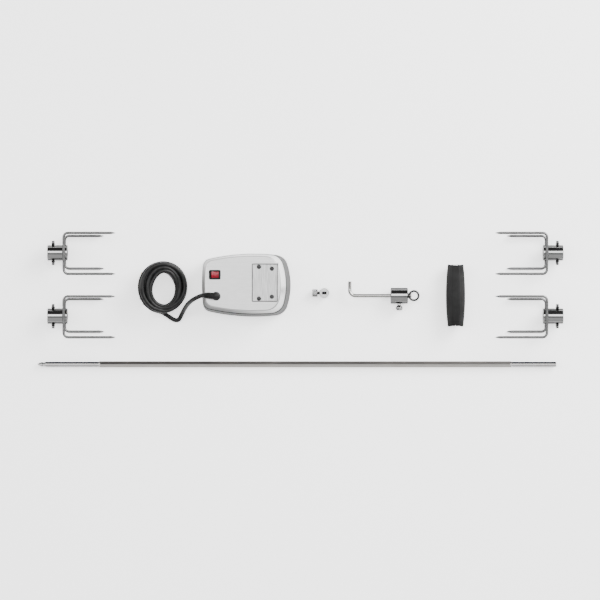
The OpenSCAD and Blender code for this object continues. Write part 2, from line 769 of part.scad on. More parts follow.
// Bundle of turns as one ring with bevelled edges, resting on its right-hand side and on the plug
module cord_coil() {
    bevel = 4;
    layers = [[0, bevel, bevel], [bevel, 0, coil_h - 2 * bevel], [coil_h - bevel, bevel, bevel]];
    color([0.08, 0.08, 0.08]) translate([coil_right_x, coil_y, 0.3]) rotate([0, coil_tilt, 0])
        translate([-coil_outer[0], 0, 0]) for (layer = layers) translate([0, 0, layer[0]])
            linear_extrude(layer[2]) difference() {
                ellipse_2d(coil_outer, layer[1]);
                translate(coil_hole_shift) ellipse_2d(coil_hole, -layer[1]);
            }
}

module plug_body() {
    color([0.1, 0.1, 0.1]) translate(plug_at) {
        box_at([plug_size[0], plug_size[1]], -plug_size[2] / 2, plug_size[2] / 2);
        along_y(-plug_size[1] / 2 - plug_boot_l) cylinder(d1 = 8, d2 = 12, h = plug_boot_l);
    }
}

module plug_blades() {
    color("goldenrod") translate(plug_at + [0, plug_size[1] / 2, 0]) {
        for (side = [-1, 1]) translate([side * blade_x - blade[0] / 2, 0, 1])
            cube([blade[0], blade_l, blade[1]]);
        translate([0, 0, ground_pin_z]) along_y() bevelled_bar(ground_pin_d, blade_l + 2, 0.8);
    }
}

spit_rod();
for (i = FORKS) {
    fork_hub(i);
    fork_long_prongs(i);
    fork_short_prongs(i);
    fork_screw(i, 1);
    fork_screw(i, -1);
}
stop_collar();
collar_screw();
balance_arm();
balance_weight();
weight_screw();
balance_eye();
handle_grip();
handle_sleeve();
front_cover();
case_gasket();
rear_housing();
drive_cover_plate();
cover_plate_screws();
switch_case();
switch_rocker();
switch_terminals();
cord_boot();
boot_nut();
gear_motor();
motor_screws();
motor_pinion();
idler_gear();
idler_axle();
output_gear();
output_shaft();
shaft_bushes();
lower_gear_plate();
upper_gear_plate();
gearbox_posts();
hanger_plate();
hanger_screws();
case_screws();
wire_leads();
power_cord();
cord_coil();
plug_body();
plug_blades();
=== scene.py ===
import json
import math
import bpy
import bmesh
from mathutils import Matrix, Vector


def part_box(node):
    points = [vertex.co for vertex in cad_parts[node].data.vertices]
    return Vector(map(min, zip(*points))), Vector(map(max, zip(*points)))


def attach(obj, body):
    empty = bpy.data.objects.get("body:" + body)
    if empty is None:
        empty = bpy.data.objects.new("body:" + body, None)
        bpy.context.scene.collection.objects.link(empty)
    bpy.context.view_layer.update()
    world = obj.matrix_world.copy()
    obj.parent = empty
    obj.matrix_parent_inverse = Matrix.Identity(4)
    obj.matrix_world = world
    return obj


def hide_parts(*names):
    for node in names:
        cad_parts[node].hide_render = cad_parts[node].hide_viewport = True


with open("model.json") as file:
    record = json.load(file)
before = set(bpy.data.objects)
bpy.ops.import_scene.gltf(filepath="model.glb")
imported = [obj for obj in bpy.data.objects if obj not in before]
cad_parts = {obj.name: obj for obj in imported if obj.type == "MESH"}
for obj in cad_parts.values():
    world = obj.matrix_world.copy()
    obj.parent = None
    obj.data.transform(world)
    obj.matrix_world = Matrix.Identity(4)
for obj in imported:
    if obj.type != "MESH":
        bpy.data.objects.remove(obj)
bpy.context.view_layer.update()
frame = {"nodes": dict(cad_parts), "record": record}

MM = 0.001
NODES = frame["nodes"]
FORKS = (1, 2, 3, 4)


# ---------------------------------------------------------------- camera
VIEW_WIDTH = 0.96
LENS = 200.0
FRAME_SHIFT_Y = -1.3 * MM
camera_data = bpy.data.cameras.new("camera")
camera_data.lens = LENS
camera_data.sensor_width = 36.0
camera_data.clip_end = 20.0
camera = bpy.data.objects.new("camera", camera_data)
bpy.context.scene.collection.objects.link(camera)
camera.location = (0.0, FRAME_SHIFT_Y, VIEW_WIDTH * LENS / 36.0 + 0.02)
bpy.context.scene.camera = camera


# ---------------------------------------------------------------- mesh helpers
def mix(a, b, t):
    return a + (b - a) * t


def smoothstep(t):
    t = min(max(t, 0.0), 1.0)
    return t * t * (3 - 2 * t)


def face_outward(mesh):
    bm = bmesh.new()
    bm.from_mesh(mesh)
    bmesh.ops.recalc_face_normals(bm, faces=bm.faces)
    bm.to_mesh(mesh)
    bm.free()


def add_mesh(name, verts, faces, body, slot, sharp_deg, replaces=(), material=None):
    """A mesh piece that rides on a body, finished as finish_piece says."""
    piece = plain_object(name, verts, faces)
    piece.data.validate()
    return finish_piece(piece, body, slot, sharp_deg, replaces, material)


def finish_piece(piece, body, slot, sharp_deg, replaces=(), material=None):
    """Shades a piece smooth except at edges over sharp_deg, and gives it its body and the material named,
    or else its slot's material.
    """
    mesh = piece.data
    face_outward(mesh)
    mesh.polygons.foreach_set("use_smooth", [True] * len(mesh.polygons))
    mesh.set_sharp_from_angle(angle=math.radians(sharp_deg))
    for polygon in mesh.polygons:
        if max(abs(v) for v in polygon.normal) > 0.99999:
            polygon.use_smooth = False
    mesh.materials.clear()
    mesh.materials.append(MATERIALS[material or slot])
    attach(piece, body)
    if replaces:
        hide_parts(*replaces)
    return piece


def band_faces(rings, sides):
    """Faces of a closed skin over equal rings whose vertices follow one another."""
    faces = []
    for i in range(rings - 1):
        for k in range(sides):
            k2 = (k + 1) % sides
            faces.append((i * sides + k, i * sides + k2, (i + 1) * sides + k2, (i + 1) * sides + k))
    faces.append(tuple(range(sides - 1, -1, -1)))
    faces.append(tuple((rings - 1) * sides + k for k in range(sides)))
    return faces


def loft(levels):
    """Skin through outlines that all have the same number of points."""
    return [p for level in levels for p in level], band_faces(len(levels), len(levels[0]))


def tube(path, radius_of, sides, up=Vector((0, 0, 1))):
    """Closed tube along path; radius_of(ring number, share of a turn) gives the radius."""
    verts = []
    count = len(path)
    side = None
    for i, point in enumerate(path):
        ahead = path[min(i + 1, count - 1)]
        behind = path[max(i - 1, 0)]
        direction = (ahead - behind).normalized()
        if side is None:
            side = direction.cross(up)
            if side.length < 1e-3:
                side = direction.cross(Vector((0, 1, 0)))
        side = (side - direction * side.dot(direction)).normalized()
        other = direction.cross(side)
        for k in range(sides):
            a = 2 * math.pi * k / sides
            r = radius_of(i, k / sides)
            verts.append(point + side * (r * math.cos(a)) + other * (r * math.sin(a)))
    return verts, band_faces(count, sides)


def lathe(profile, sides, place):
    """Solid about the Z of place, from (radius, height) pairs in metres that start and end on the axis."""
    verts, faces, rings = [], [], []
    for r, z in profile:
        if r < 1e-7:
            rings.append([len(verts)])
            verts.append(place @ Vector((0, 0, z)))
        else:
            rings.append(list(range(len(verts), len(verts) + sides)))
            for k in range(sides):
                a = 2 * math.pi * k / sides
                verts.append(place @ Vector((r * math.cos(a), r * math.sin(a), z)))
    for low, high in zip(rings, rings[1:]):
        for k in range(sides):
            k2 = (k + 1) % sides
            if len(low) == 1:
                faces.append((low[0], high[k2], high[k]))
            elif len(high) == 1:
                faces.append((low[k], low[k2], high[0]))
            else:
                faces.append((low[k], low[k2], high[k2], high[k]))
    return verts, faces


def apply_modifiers(piece):
    bpy.context.view_layer.update()
    depsgraph = bpy.context.evaluated_depsgraph_get()
    result = bpy.data.meshes.new_from_object(piece.evaluated_get(depsgraph))
    piece.modifiers.clear()
    old = piece.data
    piece.data = result
    bpy.data.meshes.remove(old)


def cut(piece, cutter, operation="DIFFERENCE"):
    """Applies one exact boolean to piece and removes the cutter."""
    modifier = piece.modifiers.new("cut", "BOOLEAN")
    modifier.operation = operation
    modifier.solver = "EXACT"
    modifier.object = cutter
    apply_modifiers(piece)
    bpy.data.objects.remove(cutter)


def plain_object(name, verts, faces):
    """An object with outward faces and nothing else set."""
    mesh = bpy.data.meshes.new(name)
    mesh.from_pydata([tuple(v) for v in verts], [], faces)
    obj = bpy.data.objects.new(name, mesh)
    bpy.context.scene.collection.objects.link(obj)
    face_outward(mesh)
    return obj


def corner_arcs(half_x, half_y, corner, radius, arc):
    """(x, y) points round a rectangle; corner arcs turn about points that lie corner in from the sides."""
    points = []
    for cx, cy, start in ((1, 1, 0), (-1, 1, 90), (-1, -1, 180), (1, -1, 270)):
        for k in range(arc + 1):
            a = math.radians(start + 90 * k / arc)
            points.append((cx * (half_x - corner) + radius * math.cos(a),
                           cy * (half_y - corner) + radius * math.sin(a)))
    return points


def soft_box(centre, size, corner, bevel, rings=4, arc=5):
    """Box with rounded vertical corners and rounded top and bottom edges."""
    hx, hy, hz = (s / 2 for s in size)
    lower = []
    for j in range(rings, -1, -1):
        a = math.pi / 2 * j / rings
        lower.append((-hz + bevel * (1 - math.sin(a)), bevel * (1 - math.cos(a))))
    levels = [[centre + Vector((x, y, z)) for x, y in corner_arcs(hx, hy, corner, corner - inset, arc)]
              for z, inset in lower + [(-z, inset) for z, inset in reversed(lower)]]
    return loft(levels)


def joined(*meshes):
    """Several meshes as one."""
    verts, faces = [], []
    for v, f in meshes:
        faces += [tuple(i + len(verts) for i in face) for face in f]
        verts += v
    return verts, faces


def catmull(points, steps):
    """Smooth curve through the points, with steps points for each span."""
    out = []
    last = len(points) - 1
    for i in range(last):
        p0, p1, p2, p3 = (points[max(i - 1, 0)], points[i], points[i + 1], points[min(i + 2, last)])
        for s in range(steps):
            t = s / steps
            out.append(0.5 * (2 * p1 + (p2 - p0) * t + (2 * p0 - 5 * p1 + 4 * p2 - p3) * t * t
                              + (3 * p1 - p0 - 3 * p2 + p3) * t ** 3))
    out.append(points[-1].copy())
    return out


# ---------------------------------------------------------------- dimensions of the motor housing, in mm
BODY_AT = Vector((-86, 22.5))
BODY_W, BODY_H = 142.0, 101.0
SIDE_R = (300.0, 110.0)
BULGE_R, BULGE_X = 321.0, 12.0
CORNER_R = (13.0, 21.0)
FLOOR_Z, SEAM_Z, RIM_Z, FACE_Z = 5.0, 34.5, 35.3, 55.0
SHEET = 1.5
BASE_IN = (0, 0, 0, 0)
REAR_TOP_IN = (0.5, 6, 0.5, 3.6)
RIM_IN = (1.2, 7.4, 1.2, 4.8)
SHOULDER_IN = (5, 15.2, 4, 9.2)
FACE_IN = (6.4, 16.8, 5.4, 10.8)
DRIVE_AT = Vector((-56, 26.2))
POCKET = (41.3, 60.8)
SWITCH_AT = Vector((-135.5, 38.9))
BOOT_AT = Vector((-133.3, 4.8))
RECESS_HALF = (21.1, 30.9)


# ---------------------------------------------------------------- materials
EDGE_TONE = 0.25
RECESS_PAINTED_SHADE = 0.18
SPIT_TURNED = (98.5, 72)


def grey(v, warm=0.0):
    """A grey, with warm as the share by which red goes up and blue down."""
    return (v * (1 + warm), v, v * (1 - warm))


def greys(stops):
    """(place, tone) stops as (place, colour) stops."""
    return [(place, grey(tone)) for place, tone in stops]


def fill_ramp(node, stops):
    stops = list(stops)
    elements = node.color_ramp.elements
    while len(elements) < len(stops):
        elements.new(0.5)
    for element, (place, colour) in zip(elements, stops):
        element.position = place
        element.color = (*colour, 1.0)


class Shader:
    """Small helper that builds one node material."""

    def __init__(self, name):
        self.material = bpy.data.materials.new(name)
        self.material.use_nodes = True
        self.nodes = self.material.node_tree.nodes
        self.links = self.material.node_tree.links
        self.bsdf = self.nodes["Principled BSDF"]
        self.coords = self.nodes.new("ShaderNodeTexCoord")

    def set(self, **values):
        names = {"metallic": "Metallic", "roughness": "Roughness", "coat": "Coat Weight",
                 "coat_roughness": "Coat Roughness", "transmission": "Transmission Weight",
                 "ior": "IOR", "specular": "Specular IOR Level"}
        for key, value in values.items():
            self.bsdf.inputs[names[key]].default_value = value
        return self

    def metal(self, edge=EDGE_TONE):
        """Bare metal; edge is how much it reflects where a surface turns away."""
        self.bsdf.inputs["Specular Tint"].default_value = (edge, edge, edge, 1)
        return self.set(metallic=1.0)

    def node(self, kind, operation, *sources):
        """A maths node of some kind; a source is another node's socket or a fixed value."""
        node = self.nodes.new(kind)
        node.operation = operation
        for socket, source in zip(node.inputs, sources):
            if isinstance(source, bpy.types.NodeSocket):
                self.links.new(source, socket)
            else:
                socket.default_value = source
        return node.outputs[0]

    def split(self, source):
        node = self.nodes.new("ShaderNodeSeparateXYZ")
        self.links.new(source, node.inputs["Vector"])
        return node.outputs

    def facing(self, source, axis, *stops):
        """Painted light and shade: multiplies a colour by a grey that depends on how far the surface faces
        along an axis.
        """
        amount = self.split(self.coords.outputs["Normal"])[axis]
        return self.blend(source, self.ramp(amount, greys(stops)))

    def paint_flank_shade(self, source, tone, low=0.64, high=0.74):
        """Painted shade: darkens a colour to tone where the surface turns from facing up to facing
        sideways.
        """
        return self.facing(source, "Z", (low, tone), (high, 1.0))

    def noise(self, scale, detail=3.0, rough=0.5):
        """Noise over object coordinates; scale is per metre along X, Y and Z."""
        mapping = self.nodes.new("ShaderNodeMapping")
        mapping.inputs["Scale"].default_value = scale
        self.links.new(self.coords.outputs["Object"], mapping.inputs["Vector"])
        texture = self.nodes.new("ShaderNodeTexNoise")
        texture.inputs["Scale"].default_value = 1.0
        texture.inputs["Detail"].default_value = detail
        texture.inputs["Roughness"].default_value = rough
        self.links.new(mapping.outputs["Vector"], texture.inputs["Vector"])
        return texture.outputs["Fac"]

    def ramp(self, source, stops):
        ramp = self.nodes.new("ShaderNodeValToRGB")
        fill_ramp(ramp, stops)
        self.links.new(source, ramp.inputs["Fac"])
        return ramp.outputs["Color"]

    def spread(self, source, low, high, at_low=0.0, at_high=1.0):
        """Maps a value from at_low to at_high onto low to high, and holds it there outside them."""
        node = self.nodes.new("ShaderNodeMapRange")
        node.inputs["From Min"].default_value = at_low
        node.inputs["From Max"].default_value = at_high
        node.inputs["To Min"].default_value = low
        node.inputs["To Max"].default_value = high
        self.links.new(source, node.inputs["Value"])
        return node.outputs["Result"]

    def outside_box(self, centre, half):
        """1 outside an upright rectangle in the object's XY plane, 0 inside it."""
        kind = "ShaderNodeVectorMath"
        offset = self.node(kind, "SUBTRACT", self.coords.outputs["Object"], (*centre, 0))
        share = self.split(self.node(kind, "DIVIDE", self.node(kind, "ABSOLUTE", offset), (*half, 1)))
        larger = self.node("ShaderNodeMath", "MAXIMUM", share["X"], share["Y"])
        return self.node("ShaderNodeMath", "GREATER_THAN", larger, 1.0)

    def blend(self, a, b, mode="MULTIPLY", amount=1.0):
        """Mixes two colours; amount is a fixed value or another node's socket."""
        node = self.nodes.new("ShaderNodeMix")
        node.data_type = "RGBA"
        node.blend_type = mode
        if isinstance(amount, bpy.types.NodeSocket):
            self.links.new(amount, node.inputs["Factor"])
        else:
            node.inputs["Factor"].default_value = amount
        self.links.new(a, node.inputs["A"])
        self.links.new(b, node.inputs["B"])
        return node.outputs["Result"]

    def colour(self, source):
        self.links.new(source, self.bsdf.inputs["Base Color"])
        return self

    def rough(self, source):
        self.links.new(source, self.bsdf.inputs["Roughness"])
        return self

    def bump(self, source, strength, distance):
        node = self.nodes.new("ShaderNodeBump")
        node.inputs["Strength"].default_value = strength
        node.inputs["Distance"].default_value = distance
        if self.bsdf.inputs["Normal"].is_linked:
            self.links.new(self.bsdf.inputs["Normal"].links[0].from_socket, node.inputs["Normal"])
        self.links.new(source, node.inputs["Height"])
        self.links.new(node.outputs["Normal"], self.bsdf.inputs["Normal"])
        return self


def brushed(name, dark, light, roughness, grain, bump, side=1.0):
    """Brushed metal; grain is the noise scale per metre along X, Y and Z, lowest along the brushing; side
    is the painted shade where the surface turns sideways.
    """
    s = Shader(name).metal()
    fine = s.noise(grain, 4.0, 0.6)
    broad = s.noise(tuple(g * 0.12 for g in grain), 2.0)
    smudge = s.noise((22, 22, 22))
    base = s.ramp(fine, ((0.3, grey(dark)), (0.7, grey(light))))
    tone = s.ramp(broad, ((0.25, grey(0.93)), (0.75, grey(1.0))))
    s.colour(s.paint_flank_shade(s.blend(base, tone), side))
    s.rough(s.spread(s.blend(fine, smudge, "MIX", 0.55), roughness * 0.8, roughness * 1.25))
    s.bump(fine, bump, 0.00006)
    return s.material


def plated(name, tone, roughness, ring_axis=None, warm=0.0, side=1.0):
    """Bright plating with fine turning marks across ring_axis and faint handling smudges; side is the
    painted shade where the surface turns sideways.
    """
    s = Shader(name).metal()
    marks = s.noise([5200 if axis == ring_axis else 12 for axis in "xyz"] if ring_axis else (900, 900, 900))
    smudge = s.noise((90, 70, 90), 4.0)
    plating = s.ramp(smudge, ((0.3, grey(tone * 0.93, warm)), (0.65, grey(tone, warm))))
    s.colour(s.paint_flank_shade(plating, side))
    s.rough(s.spread(s.blend(marks, smudge, "MIX", 0.4), roughness * 0.7, roughness * 1.5))
    s.bump(marks, 0.12, 0.00003)
    return s.material


def moulded(name, dark, light, roughness, grain, bump):
    """Moulded plastic or rubber: fine grain, faint bloom and uneven gloss."""
    s = Shader(name).set(specular=0.12)
    fine = s.noise((grain, grain, grain))
    bloom = s.noise((45, 60, 45), 4.0)
    s.colour(s.ramp(bloom, ((0.3, grey(dark)), (0.75, grey(light)))))
    s.rough(s.spread(bloom, roughness * 0.82, roughness * 1.15))
    s.bump(fine, bump, 0.00012)
    return s.material


def spit_steel():
    """Satin hexagonal bar whose turned ends are bright; painted shade darkens its far half and the sides of
    its turned ends.
    """
    s = Shader("spit_steel").metal()
    low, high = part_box("spit_rod")
    length = high.x - low.x
    along = s.spread(s.split(s.coords.outputs["Object"])["X"], 0.0, 1.0, low.x, high.x)
    left = SPIT_TURNED[0] * MM / length
    right = 1 - SPIT_TURNED[1] * MM / length
    edge = 0.001
    turned_ends = ((0.0, 1), (left - edge, 1), (left + edge, 0), (right - edge, 0), (right + edge, 1))
    turned = s.ramp(along, greys(turned_ends))
    drawn = s.noise((60, 3200, 3200), 4.0, 0.6)
    rings = s.noise((6500, 10, 10), 2.0)
    stain = s.noise((35, 160, 160), 4.0)
    satin = s.ramp(drawn, ((0.3, grey(0.52, 0.04)), (0.7, grey(0.66, 0.04))))
    # painted shade: the half facing +Y is darkened
    satin = s.facing(satin, "Y", (0.06, 1.0), (0.2, 0.45))
    bright = s.ramp(rings, ((0.3, grey(0.58)), (0.7, grey(0.70))))
    # painted shade: the turned ends darken on the half facing +Y and where they turn sideways
    bright = s.paint_flank_shade(s.facing(bright, "Y", (0.08, 1.0), (0.22, 0.07)), 0.14, 0.52, 0.72)
    tone = s.ramp(stain, ((0.3, grey(0.86, 0.02)), (0.6, grey(1.0))))
    s.colour(s.blend(s.blend(satin, bright, "MIX", turned), tone))
    gloss = s.ramp(turned, ((0.0, grey(0.36)), (1.0, grey(0.16))))
    s.rough(s.blend(gloss, s.ramp(stain, ((0.3, grey(1.0)), (0.7, grey(0.8))))))
    s.bump(drawn, 0.18, 0.00005)
    s.bump(rings, 0.02, 0.00003)
    return s.material


def cover_steel():
    """Face brushed along the width; painted shade darkens the walls to the lower left and painted light
    brightens them to the upper right, a band of painted shade follows the rolled edge, and painted shade
    darkens the recess.
    """
    s = Shader("cover_steel").metal(0.5)
    fine = s.noise((70, 5200, 1600), 4.0, 0.6)
    broad = s.noise((9, 420, 200), 2.0)
    smudge = s.noise((26, 26, 26))
    base = s.ramp(fine, ((0.3, grey(0.54)), (0.7, grey(0.72))))
    base = s.blend(base, s.ramp(broad, ((0.25, grey(0.9)), (0.75, grey(1.0)))))
    place = s.coords.outputs["Object"]
    height = s.split(place)["Z"]
    offset = s.node("ShaderNodeVectorMath", "SUBTRACT", place, (*(BODY_AT * MM), 0))
    across = s.nodes.new("ShaderNodeVectorMath")
    across.operation = "DOT_PRODUCT"
    across.inputs[1].default_value = (0.62, 0.78, 0)
    s.links.new(offset, across.inputs[0])
    # painted light and shade: the walls go from 0.3 at the lower left to 1.5 at the upper right, while the
    # face keeps 1.0
    side = s.spread(across.outputs["Value"], 0.3, 1.5, -0.05, 0.03)
    level = s.spread(height, 0.0, 1.0, (FACE_Z - 2.5) * MM, (FACE_Z - 0.05) * MM)
    tone = s.nodes.new("ShaderNodeMix")
    s.links.new(level, tone.inputs["Factor"])
    s.links.new(side, tone.inputs["A"])
    tone.inputs["B"].default_value = 1.0
    # painted shade: a fine dark band follows the rolled edge of the face
    edge_painted_shade = s.ramp(level, greys(((0.72, 1.0), (0.8, 0.45), (0.97, 0.45), (0.999, 1.0))))
    # painted shade: the walls and floor of the recess are darkened
    recess = s.spread(s.outside_box(DRIVE_AT * MM, [r * MM for r in RECESS_HALF]), RECESS_PAINTED_SHADE, 1.0)
    above = s.node("ShaderNodeMath", "GREATER_THAN", height, (FACE_Z - 0.4) * MM)
    clear = s.node("ShaderNodeMath", "MAXIMUM", recess, above)
    s.colour(s.blend(s.blend(s.blend(base, tone.outputs["Result"]), edge_painted_shade), clear))
    s.rough(s.spread(s.blend(fine, smudge, "MIX", 0.55), 0.26, 0.40))
    s.bump(fine, 0.3, 0.00006)
    return s.material


def cord_pvc():
    """Black cord sheath: slightly glossy, with scuffs along its run."""
    s = Shader("cord_pvc").set(coat=0.06, coat_roughness=0.2, specular=0.15)
    scuff = s.noise((160, 160, 160), 5.0, 0.65)
    pores = s.noise((3400, 3400, 3400), 2.0)
    s.colour(s.ramp(scuff, ((0.35, grey(0.005)), (0.7, grey(0.014)))))
    s.rough(s.spread(scuff, 0.32, 0.52))
    s.bump(pores, 0.15, 0.00008)
    return s.material


def clouded(name, scale, colours, gloss, detail=3.0, grain=None, metal=False, **settings):
    """Surface with soft clouds; grain is noise scale, noise detail, bump strength and bump depth."""
    s = Shader(name).set(**settings)
    if metal:
        s.metal()
    cloud = s.noise((scale, scale, scale), detail)
    s.colour(s.ramp(cloud, zip((0.3, 0.7), colours)))
    s.rough(s.spread(cloud, *gloss))
    if grain:
        s.bump(s.noise(*grain[:2]), *grain[2:])
    return s.material


# side= is painted shade where a metal surface turns sideways
MATERIALS = {
    "chrome_hub": plated("chrome_hub", 0.36, 0.1, "x", side=0.3),
    "chrome_upright": plated("chrome_upright", 0.5, 0.13, "z", side=0.2),
    "prong_steel": brushed("prong_steel", 0.14, 0.19, 0.36, (2400, 2400, 2400), 0.08, side=0.5),
    "spit_steel": spit_steel(),
    "screw_chrome": plated("screw_chrome", 0.34, 0.2, side=0.35),
    "screw_satin": plated("screw_satin", 0.13, 0.25, side=0.6),
    "arm_steel": plated("arm_steel", 0.42, 0.2, "x", 0.02, side=0.35),
    "dark_steel": brushed("dark_steel", 0.04, 0.08, 0.42, (1800, 1800, 1800), 0.2, side=0.9),
    "cover_steel": cover_steel(),
    "plate_steel": brushed("plate_steel", 0.30, 0.68, 0.30, (1500, 40, 1600), 0.35, side=0.3),
    "housing_grey": brushed("housing_grey", 0.22, 0.29, 0.42, (70, 3600, 1600), 0.2),
    "grip_plastic": moulded("grip_plastic", 0.006, 0.013, 0.45, 1900, 0.3),
    "switch_black": moulded("switch_black", 0.006, 0.012, 0.3, 2600, 0.1),
    "rocker_red": clouded("rocker_red", 260, ((0.15, 0.006, 0.013), (0.28, 0.018, 0.034)), (0.12, 0.22),
                          coat=0.15, coat_roughness=0.12, transmission=0.1, ior=1.45, specular=0.2),
    "boot_rubber": moulded("boot_rubber", 0.004, 0.010, 0.5, 2200, 0.2),
    "cord_pvc": cord_pvc(),
    "brass": clouded("brass", 240, ((0.55, 0.38, 0.16), (0.80, 0.62, 0.30)), (0.2, 0.38), 4.0,
                     ((2500, 2500, 300), 3.0, 0.15, 0.00005), metal=True),
    "gear_nylon": clouded("gear_nylon", 130, ((0.66, 0.60, 0.46), (0.80, 0.75, 0.62)), (0.38, 0.55), 4.0,
                          ((1500, 1500, 1500), 2.0, 0.2, 0.0001), specular=0.4),
    "zinc_steel": brushed("zinc_steel", 0.50, 0.66, 0.32, (900, 900, 900), 0.15),
    "lead_pvc": clouded("lead_pvc", 190, ((0.03, 0.16, 0.05), (0.05, 0.26, 0.08)), (0.35, 0.5), 3.0,
                        ((2200, 2200, 2200), 2.0, 0.15, 0.00008), specular=0.5),
}


def dress_cad_nodes():
    """Gives every CAD node the material of its record slot, except chrome_upright for the stop collar and
    plate_steel for the drive cover plate.
    """
    for part in frame["record"]["subparts"]:
        node = NODES[part["node"]]
        material = MATERIALS[part["material_slot"]]
        if part["node"] == "stop_collar":
            material = MATERIALS["chrome_upright"]
        if part["node"] == "drive_cover_plate":
            material = MATERIALS["plate_steel"]
        if not node.data.materials:
            node.data.materials.append(material)
        for index in range(len(node.data.materials)):
            node.data.materials[index] = material


# ---------------------------------------------------------------- power cord
CORD_D = 7 * MM
CORD_ROUTE_MM = (
    (-151, 6.2, 61), (-156, 5.8, 60.5), (-164, 2.5, 57), (-172, -2, 48), (-179, -8, 34), (-185, -16, 19),
    (-190, -25, 8.5), (-193.5, -31.5, 4.5), (-198, -33.8, 3.7), (-204, -32, 3.6), (-211, -27.5, 4.2),
    (-217, -23.5, 7.5), (-222, -20.8, 11.5))
COIL_TILT = math.radians(16)
COIL_RIGHT_X = -183
COIL_Y = 19.1
COIL_OUTER = (41 - 3.6, 42.3 - 3.6)
COIL_INNER = (18.2 + 3.6, 24.6 + 3.6)
COIL_SHIFT = (0.8, -2.3)
COIL_BASE = 3.9
LAYER_STEP = 5.7
# Each turn of the coil: layer from the bottom, and place across the bundle from outside (0) to inside (1)
COIL_TURNS = ((1, 0.0), (2, 0.12), (2, 0.62), (2, 1.0), (1, 0.9), (1, 0.45),
              (0, 0.95), (0, 0.25), (0, 0.15))
COIL_SWEEP = 8.05
POINTS_A_TURN = 30
COIL_START = -100
PLUG_AT = Vector((-247.5, 13, 11.3)) * MM
PLUG_SIZE = Vector((20, 28, 22)) * MM
PLUG_BOOT = 8 * MM


def coil_point(turn, angle):
    """A point on the coil: turn counts turns from the outer end, angle is in degrees."""
    k = min(int(turn), len(COIL_TURNS) - 1)
    layer, across = COIL_TURNS[k]
    next_layer, next_across = COIL_TURNS[min(k + 1, len(COIL_TURNS) - 1)]
    change = smoothstep((turn - k - 0.62) / 0.38)
    layer = mix(layer, next_layer, change)
    across = mix(across, next_across, change)
    a = math.radians(angle)
    wobble = 0.9 * math.sin(2 * a + 2.1 * k) + 0.6 * math.sin(3 * a + 1.3 * k)
    rx = mix(COIL_OUTER[0], COIL_INNER[0], across) + wobble * (0.3 if across < 0.2 else 1.0) * 0.8
    ry = mix(COIL_OUTER[1], COIL_INNER[1], across) + wobble * 0.6
    u = COIL_SHIFT[0] * across + rx * math.cos(a) - 41
    v = COIL_SHIFT[1] * across + ry * math.sin(a)
    w = COIL_BASE + LAYER_STEP * layer
    return Vector((COIL_RIGHT_X + u * math.cos(COIL_TILT) + w * math.sin(COIL_TILT),
                   COIL_Y + v, 0.3 - u * math.sin(COIL_TILT) + w * math.cos(COIL_TILT))) * MM


def cord_path():
    route = [Vector(p) * MM for p in CORD_ROUTE_MM]
    steps = int(COIL_SWEEP * POINTS_A_TURN)
    coil = [coil_point(COIL_SWEEP * i / steps, COIL_START - 360 * COIL_SWEEP * i / steps)
            for i in range(1, steps - 1)]
    boot_mouth = PLUG_AT - Vector((-1.5 * MM, PLUG_SIZE.y / 2 + PLUG_BOOT, -1.5 * MM))
    plug_end = PLUG_AT - Vector((0, PLUG_SIZE.y / 2 + PLUG_BOOT * 0.3, 0))
    return catmull(route + coil + [boot_mouth, plug_end], 4)


def make_cord():
    path = cord_path()
    curve = bpy.data.curves.new("power_cord_sheath", "CURVE")
    curve.dimensions = "3D"
    spline = curve.splines.new("POLY")
    spline.points.add(len(path) - 1)
    for point, at in zip(spline.points, path):
        point.co = (*at, 1.0)
    curve.bevel_depth = CORD_D / 2
    curve.bevel_resolution = 6
    curve.use_fill_caps = True
    curve.materials.append(MATERIALS["cord_pvc"])
    piece = bpy.data.objects.new("power_cord_sheath", curve)
    bpy.context.scene.collection.objects.link(piece)
    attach(piece, "motor_unit")
    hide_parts("power_cord", "cord_coil")
    length = sum((b - a).length for a, b in zip(path, path[1:]))
    return piece, length, path[0]


def make_plug():
    """Moulded plug body with a waist, finger ridges and a ribbed tapered boot."""
    half = PLUG_SIZE.y / 2
    sides, squareness, spans = 32, 4.5, 6
    # place along the body from -1 to 1, and share of the full size there
    profile = ((-1.0, 0.80), (-0.96, 0.92), (-0.6, 0.95), (-0.2, 0.86), (0.2, 0.9), (0.5, 0.99),
               (0.93, 1.0), (1.0, 0.94))
    fine = [(mix(a, b, step / spans), mix(ra, rb, smoothstep(step / spans)))
            for (a, ra), (b, rb) in zip(profile, profile[1:]) for step in range(spans)]
    levels = []
    for along, scale in fine + [profile[-1]]:
        ridge = 0.975 if -0.75 < along < 0.15 and math.sin(along * 40) > 0.2 else 1.0
        ring = []
        for k in range(sides):
            c, s = math.cos(2 * math.pi * k / sides), math.sin(2 * math.pi * k / sides)
            r = (abs(c) ** squareness + abs(s) ** squareness) ** (-1 / squareness) * scale * ridge
            ring.append(PLUG_AT + Vector((PLUG_SIZE.x / 2 * r * c, along * half, PLUG_SIZE.z / 2 * r * s)))
        levels.append(ring)
    body = add_mesh("plug_moulding", *loft(levels), "motor_unit", "boot_rubber", 40, ("plug_body",))
    steps = 36
    inside = 1.0 * MM
    reach = PLUG_BOOT + inside
    path = [PLUG_AT - Vector((0, half - inside + reach * i / steps, 0)) for i in range(steps + 1)]

    def radius(i, turn):
        t = i / steps
        rib = 0.45 * MM if (t * 6) % 1 > 0.5 and t < 0.95 else 0.0
        return mix(6.0, 4.1, t) * MM + rib

    return body, add_mesh("plug_boot", *tube(path, radius, 28), "motor_unit", "boot_rubber", 40)


